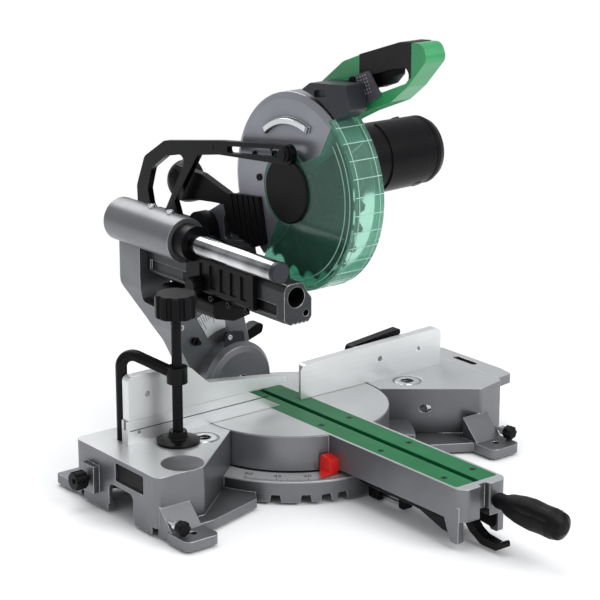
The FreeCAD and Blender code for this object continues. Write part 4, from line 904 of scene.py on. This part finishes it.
RED_INK = Moulding("scale_ink_red", colour=(0.50, 0.02, 0.02), worn=(0.5, 0.02, 0.02), roughness=0.5,
                   dust=0.0)
CLEAR = ClearGuard("clear_green_guard")
# paler, less clear copy of the guard plastic for its ridges and beads: painted highlight
CLEAR_RIDGE_HIGHLIGHT = ClearGuard("clear_green_painted_highlight", colour=(0.66, 0.92, 0.82), flat_colour=(0.50, 0.84, 0.70),
                        transmission=0.5)
BLADE = SawSteel("blade_steel", centre=tuple(pivot("blade_spin") * MM))
IRON = Windings("laminated_iron")


# ---- sub-assemblies -----------------------------------------------------------------------------------
@dataclass(frozen=True)
class Screw:
    """A cap screw's head with its hexagon recess, standing up or towards -X or -Y."""

    at: Point
    axis: Axis
    radius: float
    height: float

    def on(self, form: Form) -> None:
        """Add the head to a form.

        Args:
            form: The form it joins.
        """
        r, h = self.radius, self.height
        recess = r * 0.5
        profile = [(0.0, 0.0), (r, 0.0), (r, h * 0.82), (r * 0.86, h), (recess, h), (recess * 0.9, h * 0.45),
                   (0.0, h * 0.4)]
        form.turned(profile, self.at, self.axis, 24, flip=self.axis is not Axis.Z)


class SubAssembly:
    """Pieces that belong together: its CAD nodes get finishes and its small details are built."""

    nodes: dict[str, Finish] = {}

    def dress(self) -> None:
        """Give each CAD node its material."""
        for name, finish in self.nodes.items():
            node = frame["nodes"][name]
            material = finish.material()
            if not node.material_slots:
                node.data.materials.append(material)
            for holder in node.material_slots:
                holder.material = material
            log.info("dressed %s in %s", name, finish.name)

    def details(self) -> None:
        """Build the pieces that the solids leave out."""

    def add(self, form: Form, name: str, body: str, finish: Finish, slot: str) -> None:
        """Turn a form into a piece that rides on a body.

        Args:
            form: The finished form.
            name: The piece's name.
            body: The CAD body it moves with.
            finish: Its finish.
            slot: Not used.
        """
        piece = form.object(name)
        piece.data.materials.append(finish.material())
        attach(piece, body)
        log.info("built %s on %s", name, body)

    def screws(self, name: str, body: str, finish: Finish, *heads: Screw) -> None:
        """Add cap screws as one piece.

        Args:
            name: The piece's name.
            body: The CAD body it moves with.
            finish: Its finish.
            *heads: The screws.
        """
        form = Form()
        for head in heads:
            head.on(form)
        self.add(form, name, body, finish, "steel")

    def build(self) -> None:
        """Dress the nodes, then build the details."""
        self.dress()
        self.details()


@dataclass
class BaseUnit(SubAssembly):
    """The fixed base with its scale ring, fences and extension."""

    tick_height: float = 0.12
    tick_width: float = 0.8
    ring_margin: float = 1.5
    figure_size: float = 10.0
    figure_inset: float = 17.5
    end_wall: float = -269.0
    left_bore: tuple[float, float] = (-152.0, -32.0)
    right_bore: tuple[float, float] = (164.0, -24.0)
    left_stud: Point = (-262.0, -124.6, 24.0)
    right_stud: Point = (226.4, -124.6, 23.0)

    nodes = {"base_casting": CAST_MILLED, "miter_scale_ring": SCALE_STRIP, "rubber_feet": RUBBER,
             "left_fence": MILLED, "right_fence": MILLED, "left_sliding_fence": MILLED, "fence_bolts": STEEL,
             "fence_clamp_knob": BLACK, "fence_lever": BLACK, "extension_wing": CAST_MILLED,
             "extension_rods": STEEL}

    def details(self) -> None:
        """Scale, clamp bushes, a black sheet of painted shade in the end recess, foot knobs and the trim of
        the fences.
        """
        ring = Box.of("miter_scale_ring")
        self.scale(ring)
        self.end_block(ring)
        self.bushes()
        # painted shade: black sheet in the recess of the end wall
        shade_sheet = Form().box((self.end_wall + 2.3, self.end_wall + 2.95), (-79.5, -24.5), (44.5, 65.5))
        self.add(shade_sheet, "end_recess_painted_shade", "base", BLACK, "black")
        self.foot_knobs()
        self.fence_trim()

    def scale(self, ring: Box) -> None:
        """Degree marks and figures on the ring."""
        outer, top = -ring.y0, ring.z1
        half, rim = self.tick_width / 2, outer - self.ring_margin
        marks, figures = Form(), Form()
        for degree in range(-60, 61):
            turn = Matrix.Rotation(math.radians(degree), 4, "Z")
            length = 9.0 if degree % 15 == 0 else 7.0 if degree % 5 == 0 else 4.5
            corners = [turn @ Vector((x, y, 0)) for x, y in rectangle(-half, half, -rim, length - rim)]
            marks.prism([(c.x, c.y) for c in corners], Axis.Z, top, top + self.tick_height)
            if degree and degree % 15 == 0:
                place = Matrix.Translation((0, -outer + self.figure_inset, top + self.tick_height / 2))
                figures.words(str(abs(degree)), self.figure_size, self.tick_height, turn @ place)
        self.add(marks, "miter_scale_ticks", "base", INK, "black")
        self.add(figures, "miter_scale_figures", "base", INK, "black")

    def end_block(self, ring: Box) -> None:
        """Raised block that ends the scale at the right."""
        outer, inner = -ring.y0 + 1.0, Box.of("turntable").x1 + 2.0
        angles = [math.radians(50.0 + 24.0 * i / 8) for i in range(9)]
        outline = [(inner * math.sin(a), -inner * math.cos(a)) for a in angles]
        outline += [(outer * math.sin(a), -outer * math.cos(a)) for a in reversed(angles)]
        block = Form().prism(outline, Axis.Z, ring.z0 - 2.0, ring.z1 + 4.0, bevel=1.2)
        self.add(block, "scale_end_block", "base", CAST, "cast")

    def bushes(self) -> None:
        """Turned bushes in the two clamp bores."""
        top = Box.of("base_casting").z1
        profile = [(8.2, -9.0), (8.2, 0.0), (14.5, 0.0), (16.0, -1.2), (16.0, -2.9), (9.5, -2.9), (9.5, -9.0)]
        for side, (x, y) in (("left", self.left_bore), ("right", self.right_bore)):
            bush = Form().turned(profile, (x, y, top - 0.1), Axis.Z)
            self.add(bush, f"clamp_bush_{side}", "base", STEEL, "steel")

    def foot_knobs(self) -> None:
        """Small lock screws with black knobs beside the front feet."""
        shaft = [(0, -6.2), (2.6, -6.2), (2.6, 6.0), (5.5, 6.0), (5.5, 12.4), (0, 12.4)]
        crown = [(0, 12.4), (5.4, 12.4), (7.6, 14.0), (8.3, 17.5), (8.0, 22.5), (5.8, 25.0), (0, 25.4)]
        for side, at in (("left", self.left_stud), ("right", self.right_stud)):
            x, y, z = at
            stud = Form().turned(shaft, at, Axis.Y, 20, flip=True)
            self.add(stud, f"foot_stud_{side}", "base", STEEL, "steel")
            knob = Form().turned(crown, at, Axis.Y, 28, flip=True)
            for k in range(8):
                u, v = x + 7.7 * math.cos(math.pi * k / 4), z + 7.7 * math.sin(math.pi * k / 4)
                knob.box((u - 0.9, u + 0.9), (y - 23.0, y - 14.5), (v - 0.9, v + 0.9), 0.3)
            self.add(knob, f"foot_knob_{side}", "base", BLACK, "black")

    def fence_trim(self) -> None:
        """Screws in the fence faces and a black strip under the sliding fence that paints the shadow line of
        the joint.
        """
        fixed = Form()
        for radius, depth, at in ((2.4, 3.0, (-219.0, 1.2, 83.5)), (3.2, 4.0, (203.0, 2.5, 98.5))):
            fixed.turned([(0, 0), (radius, 0), (radius, depth), (0, depth)], at, Axis.Y, 20)
        self.add(fixed, "fence_face_screws", "base", STEEL, "steel")
        # painted shadow: black strip in the gap between the fixed and the sliding fence
        lower, upper = Box.of("left_fence"), Box.of("left_sliding_fence")
        strip = Form().box((lower.x0 + 3.0, lower.x1 - 18.0), (lower.y0 - 0.12, lower.y0 + 0.5),
                           (upper.z0 - 1.5, upper.z0 - 0.5))
        self.add(strip, "fence_joint_painted_shadow", "base", BLACK, "black")
        self.screws("sliding_fence_screw", "sliding_fence", STEEL,
                    Screw((-207.0, 6.0, 127.0), Axis.Y, 3.2, 4.4))


@dataclass
class Vise(SubAssembly):
    """The work vise at the left."""

    nodes = {"vise_rod": BLACK_PAINT, "vise_foot": BLACK_PAINT, "vise_screw": BLACK, "vise_rod_knob": BLACK}


@dataclass
class Table(SubAssembly):
    """The rotating table, its arm, kerf plates, lever and side handle."""

    channel_half: float = 12.8
    channel_floor: float = 52.05
    skirt_out: float = 26.5
    skirt_in: float = 24.0

    nodes = {"turntable": CAST_MILLED, "kerf_inserts": GREEN_PLATE, "kerf_screws": DARK_STEEL,
             "turntable_pivot_bolt": STEEL, "miter_pointer": RED, "bevel_pointer": DARK_GREY,
             "detent_bracket": BLACK_PAINT, "detent_lever": BLACK_PAINT, "detent_pin": STEEL,
             "side_handle": BLACK}

    def details(self) -> None:
        """Painted shade in the kerf channel, skirt under the arm and the screws of skirt and pointer."""
        self.channel_liner()
        self.skirt()
        self.screws("arm_skirt_screws", "turntable", DARK_STEEL,
                    *(Screw((-26.4, y, 29.6), Axis.X, 3.4, 2.2) for y in (-196.0, -262.0)))
        pointer = Box.of("bevel_pointer")
        self.screws("bevel_pointer_screw", "turntable", STEEL,
                    Screw((pointer.x0 + 7.0, pointer.y0, pointer.z1 - 6.5), Axis.Y, 3.4, 2.2))

    def channel_liner(self) -> None:
        """Black sheets on the floor and walls of the channel under the kerf plates: painted shade."""
        inserts = Box.of("kerf_inserts")
        along = (inserts.y0 + 7.0, inserts.y1 - 7.0)
        half, floor = self.channel_half, self.channel_floor
        # painted shade: thin black sheets where the deep channel falls dark
        shade_sheet = Form().box((-half, half), along, (floor, floor + 0.6))
        for side in (-1, 1):
            shade_sheet.box(tuple(sorted((side * half, side * (half - 0.5)))), along, (floor, inserts.z0 - 0.4))
        self.add(shade_sheet, "kerf_channel_painted_shade", "turntable", BLACK, "black")

    def skirt(self) -> None:
        """Black skirt that hangs from the arm, with its cross ribs."""
        skirt = Form()
        side_view = [(-160, 33.8), (-160, 27), (-176, 25.5), (-262, 25.5), (-300, 14), (-326, 11), (-331, 16),
                     (-331, 33.8)]
        for side in (-1, 1):
            x0, x1 = sorted((side * self.skirt_out, side * self.skirt_in))
            skirt.prism(side_view, Axis.X, x0, x1, bevel=0.6)
        for y in (-176.0, -236.0, -300.0):
            for across in ((-24.2, -9.5), (9.5, 24.2)):
                skirt.box(across, (y - 1.2, y + 1.2), (26.0, 33.5))
        self.add(skirt, "arm_skirt", "turntable", BLACK, "black")


@dataclass
class Holder(SubAssembly):
    """The tilting holder with the rail and the chromed pole."""

    nodes = {"bevel_holder": CAST, "lower_rail": RAIL_CAST, "slide_pole": CHROME, "pole_cap": DARK_GREY,
             "bevel_scale_plate": SCALE_STRIP, "bevel_hinge_bolt": STEEL, "bevel_clamp_lever": BLACK}

    def details(self) -> None:
        """Bevel scale, set screws, stop bolts and a black sheet of painted shade in the rail's recess."""
        self.scale()
        pole = Box.of("slide_pole").centre
        self.screws("holder_set_screws", "holder", STEEL,
                    *(Screw((pole.x, y, pole.z + 26.6), Axis.Z, 4.6, 4.0) for y in (118.0, 156.0)),
                    Screw((-62.0, 178.0, 262.0), Axis.Y, 4.0, 4.0),
                    Screw((-74.0, 125.4, 150.0), Axis.Y, 4.2, 4.5))
        stops = Form()
        for x, z in ((-52.0, 128.0), (-2.0, 126.0)):
            at = (x, 125.2, z)
            stops.turned([(0, 0), (5.6, 0), (5.6, 5.0), (4.8, 6.0), (0, 6.0)], at, Axis.Y, 6, flip=True)
            stops.turned([(0, 6.0), (2.8, 6.0), (2.8, 11.0), (0, 11.0)], at, Axis.Y, 16, flip=True)
        self.add(stops, "bevel_stop_bolts", "holder", DARK_STEEL, "steel")
        # painted shade: thin black sheet in the rail's recess
        rail = Box.of("lower_rail")
        recess = Form().box((rail.x0 + 2.4, rail.x0 + 3.0), (rail.y0 + 14.4, 106.0),
                            (rail.z0 + 9.4, rail.z1 - 26.4))
        self.add(recess, "rail_recess_painted_shade", "holder", BLACK, "black")

    def scale(self) -> None:
        """Marks of the bevel scale, two of them red."""
        plate = Box.of("bevel_scale_plate")
        centre_z = pivot("bevel_tilt").z
        marks, reds = Form(), Form()
        for i in range(12):
            angle = math.radians(97.0 + 2.0 * i)
            c, q = math.cos(angle), math.sin(angle)
            inner, outer, half = (78.0 if i % 5 == 0 else 86.0), 96.0, 0.35
            corners = [(r * c + side * q, r * q - side * c)
                       for r, side in ((inner, -half), (inner, half), (outer, half), (outer, -half))]
            target = reds if i in (2, 7) else marks
            target.prism([(x, z + centre_z) for x, z in corners], Axis.Y, plate.y0 - 0.15, plate.y0)
        self.add(marks, "bevel_scale_ticks", "holder", INK, "black")
        self.add(reds, "bevel_scale_red_ticks", "holder", RED_INK, "red")


@dataclass
class Carriage(SubAssembly):
    """The sliding carriage that carries the head's hinge."""

    nodes = {"slide_carriage": BLACK, "hinge_pins": STEEL, "slide_lock_knob": BLACK}

    def details(self) -> None:
        """Adjusting screws on the carriage's left side."""
        x, z = Box.of("lower_rail").x0 - 6.5, Box.of("slide_carriage").z0 + 33.0
        self.screws("carriage_screws", "carriage", DARK_STEEL,
                    *(Screw((x, y, z), Axis.X, 4.0, 3.0) for y in (-34.0, 0.0, 34.0)))


@dataclass
class Head(SubAssembly):
    """The saw head: guards, gear case, motor, handle and controls."""

    guard_rim: float = 118.0
    rib_face: float = -21.55
    thumb_rest: Point = (0, -92.0, 474.0)

    nodes = {"saw_head_casting": HEAD_CAST, "gear_case": BLACK, "spindle_cover": BLACK, "handle": GREEN,
             "handle_grip": RUBBER, "laser_block": DARK_GREY, "dust_guide": BLACK, "motor_housing": BLACK,
             "motor_end_cap": BLACK, "brush_caps": BLACK, "motor_field": IRON, "ball_bearings": STEEL,
             "lower_guard": CLEAR, "guard_link": BLACK_PAINT, "trigger": BLACK, "lock_off_button": BLACK,
             "guard_release_lever": GREY}

    def details(self) -> None:
        """Guard ridges, casting bolts, polished rib, link screws, motor trim and the paddle's dots."""
        spindle = pivot("blade_spin")
        self.guard_ridges(spindle)
        bolts = ((37.6, 345.0, 4.2), (8.0, 378.0, 4.2), (-16.0, 388.0, 3.4), (46.0, 372.0, 3.4))
        self.screws("casting_bolts", "head", DARK_STEEL,
                    *(Screw((-17.0, y, z), Axis.X, r, 2.4) for y, z, r in bolts))
        x = self.rib_face
        rib = Form().sector([(x, 76.6), (x, 82.2), (-20.9, 82.8), (-20.9, 76.2)], 52.0, 110.0, spindle, 30)
        self.add(rib, "polished_rib_face", "head", POLISHED, "steel")
        self.link_screws()
        self.motor_trim(pivot("armature_spin"))
        self.paddle_dots()

    def guard_ridges(self, spindle: Vector) -> None:
        """Cross ridges and edge beads of the clear guard, in a paler copy of its plastic as painted
        highlight.
        """
        guard = Box.of("lower_guard")
        rim = self.guard_rim
        ridges = Form()
        for i in range(17):
            first = 134.0 + 10.0 * i
            ridges.sector(rectangle(guard.x0 + 3.0, guard.x1 - 2.0, rim - 0.2, rim + 0.7), first, first + 0.5,
                          spindle, 2)
        for r in (103.0, 111.5):
            ridges.sector(rectangle(guard.x0 - 0.6, guard.x0 + 0.2, r, r + 1.0), 141.0, 296.0, spindle, 70)
        for x in (guard.x0 + 8.0, guard.x1 - 8.0):
            ridges.sector(rectangle(x, x + 0.9, rim - 0.2, rim + 0.6), 129.0, 296.0, spindle, 70)
        self.add(ridges, "guard_ridges", "lower_guard", CLEAR_RIDGE_HIGHLIGHT, "clear_green")

    def link_screws(self) -> None:
        """Pivot screw at the link's front end and its small fixing screws."""
        side = Box.of("guard_link").x0
        front = Form().turned([(0, 0), (9.0, 0), (9.0, 3.0), (6.5, 4.0), (6.5, 6.5), (0, 6.5)],
                              (side, -36.0, 387.5), Axis.X, 28, flip=True)
        self.add(front, "link_front_screw", "guard_link", BLACK, "black")
        self.screws("link_small_screws", "guard_link", DARK_STEEL,
                    *(Screw((side, y, z), Axis.X, 2.6, 0.6) for y, z in ((-10.0, 389.0), (106.0, 372.0))))

    def motor_trim(self, motor: Vector) -> None:
        """Seam between the halves of the motor housing and the band that closes its end."""
        shell = Box.of("motor_housing")
        left, right = shell.x0 + 12.0, shell.x1 - 2.0
        raised = [(left, 41.0), (left, 43.3), (right, 42.2), (right, 41.0)]
        seam = Form().sector(raised, 150.0, 151.4, motor, 2)
        self.add(seam, "motor_seam", "head", BLACK_PAINT, "black")
        profile = rectangle(37.5, 40.9, shell.x1 - 0.1, Box.of("motor_end_cap").x0 + 0.1)
        band = Form().turned(profile, (0, motor.y, motor.z), Axis.X, 72)
        self.add(band, "motor_end_band", "head", BLACK, "black")

    def paddle_dots(self) -> None:
        """Grid of raised grip dots on the guard release lever."""
        paddle = Box.of("guard_release_lever")
        corner, along, across = Vector((0, -88.0, 474.0)), Vector((0, -27.0, 10.0)), Vector((0, -9.5, -17.5))
        dots = Form()
        for i in range(7):
            for j in range(6):
                at = corner + along * (i / 6) + across * (j / 5)
                clear = (Vector(self.thumb_rest) - at).length > 8.5
                if clear and paddle.y0 + 1.5 < at.y < paddle.y1 - 1.5:
                    dots.turned([(0, 0), (1.3, 0), (1.1, 0.2), (0, 0.3)], (paddle.x0, at.y, at.z), Axis.X, 10,
                                flip=True)
        self.add(dots, "paddle_dots", "guard_release", CAST, "grey")


@dataclass
class Drive(SubAssembly):
    """Blade, gears and armature."""

    nodes = {"saw_blade": BLADE, "blade_flanges": STEEL, "arbor_shaft": STEEL, "arbor_bolt": STEEL,
             "output_gear": STEEL, "armature_shaft": STEEL, "armature_core": IRON, "cooling_fan": BLACK}


# ---- studio -------------------------------------------------------------------------------------------
@dataclass(frozen=True)
class Lamp:
    """A soft rectangular lamp."""

    name: str
    place: Point
    size: tuple[float, float]
    watts: float
    aim: Point = (0.0, 0.0, 0.25)

    def hang(self) -> None:
        """Add the lamp to the scene."""
        data = bpy.data.lights.new(self.name, "AREA")
        data.shape = "RECTANGLE"
        data.size, data.size_y = self.size
        data.energy = self.watts
        lamp = bpy.data.objects.new(self.name, data)
        lamp.location = self.place
        lamp.rotation_euler = (Vector(self.aim) - Vector(self.place)).to_track_quat("-Z", "Y").to_euler()
        bpy.context.scene.collection.objects.link(lamp)


@dataclass
class Studio:
    """Camera, floor, world and lamps."""

    camera_place: Point = (-1.4398, -1.8369, 0.8924)
    azimuth: float = -38.35
    elevation: float = 16.52
    lens: float = 123.33
    sensor: float = 36.0
    floor_size: float = 12.0
    clear_from: float = 0.30
    clear_over: float = 0.45
    lamps: Sequence[Lamp] = field(default_factory=lambda: (
        Lamp("key_lamp", (0.5, -2.0, 1.7), (1.8, 1.4), 38.0),
        Lamp("fill_lamp", (-2.3, -0.4, 1.2), (1.4, 1.6), 3.5),
        Lamp("rim_lamp", (0.4, 2.0, 1.9), (1.8, 1.0), 24.0),
        Lamp("top_lamp", (0.0, 0.2, 2.4), (1.8, 1.8), 22.0),
    ))

    def camera(self) -> None:
        """Place the camera at the viewing angle of the product view."""
        data = bpy.data.cameras.new("view_camera")
        data.sensor_width = self.sensor
        data.lens = self.lens
        data.clip_start = 0.05
        data.clip_end = 60.0
        camera = bpy.data.objects.new("view_camera", data)
        camera.location = self.camera_place
        camera.rotation_euler = Euler((math.radians(90.0 - self.elevation), 0.0, math.radians(self.azimuth)))
        bpy.context.scene.collection.objects.link(camera)
        bpy.context.scene.camera = camera

    def floor(self) -> None:
        """Lay the pale floor, which keeps the object's shadow and shows white beyond it."""
        half = self.floor_size / 2
        mesh = bpy.data.meshes.new("studio_floor")
        mesh.from_pydata([(x, y, 0) for x, y in rectangle(-half, half, -half, half)], [], [(0, 1, 2, 3)])
        plane = bpy.data.objects.new("studio_floor", mesh)
        plane.location.z = -0.0005
        bpy.context.scene.collection.objects.link(plane)
        bench = Bench("floor_paper")
        place = bench.place()
        paper = bench.noise(place, 40.0, 3.0)
        bench.surface(bench.blend(paper, (0.93, 0.93, 0.93), (0.96, 0.96, 0.96)), bench.ramp(paper, 0.9, 0.8))
        bench.set(Specular_IOR_Level=0.2)
        self.fade(bench, place)
        plane.data.materials.append(bench.material)

    def fade(self, bench: Bench, place: bpy.types.NodeSocket) -> None:
        """Show the floor plain white to the camera away from the object.

        Args:
            bench: The floor's material.
            place: Coordinates on the floor, in metres.
        """
        reach = bench.maths("SUBTRACT", bench.vector("LENGTH", place), self.clear_from)
        near = bench.maths("DIVIDE", reach, self.clear_over, clamp=True)
        white = bench.node("Emission").outputs[0]
        share = bench.maths("MULTIPLY", near, bench.seen())
        mix = bench.node("MixShader", (share, bench.shader.outputs[0], white))
        bench.tree.links.new(mix.outputs[0], bench.tree.nodes["Material Output"].inputs["Surface"])

    def world(self) -> None:
        """Light the world evenly and show it white to the camera and through clear pieces."""
        world = bpy.data.worlds.new("studio_world")
        world.use_nodes = True
        bpy.context.scene.world = world
        wires = Wiring(world.node_tree)
        plain = wires.tree.nodes["Background"]
        plain.inputs["Color"].default_value = (0.95, 0.97, 1.0, 1.0)
        plain.inputs["Strength"].default_value = 0.55
        white = wires.node("Background", {"Color": (1.0, 1.0, 1.0, 1.0), "Strength": 1.0})
        mix = wires.node("MixShader", (wires.seen(), plain.outputs[0], white.outputs[0]))
        wires.tree.links.new(mix.outputs[0], wires.tree.nodes["World Output"].inputs["Surface"])

    def build(self) -> None:
        """Set up the whole studio."""
        self.camera()
        self.floor()
        self.world()
        for lamp in self.lamps:
            lamp.hang()
        bpy.context.scene.view_settings.view_transform = "Standard"
        log.info("studio ready with %d lamps", len(self.lamps))


def main() -> None:
    """Build the sub-assemblies in order, then the studio."""
    logging.basicConfig(level=logging.INFO, format="%(message)s")
    units: Sequence[SubAssembly] = (BaseUnit(), Vise(), Table(), Holder(), Carriage(), Head(), Drive())
    for unit in units:
        unit.build()
    Studio().build()


if __name__ == "__main__":
    main()
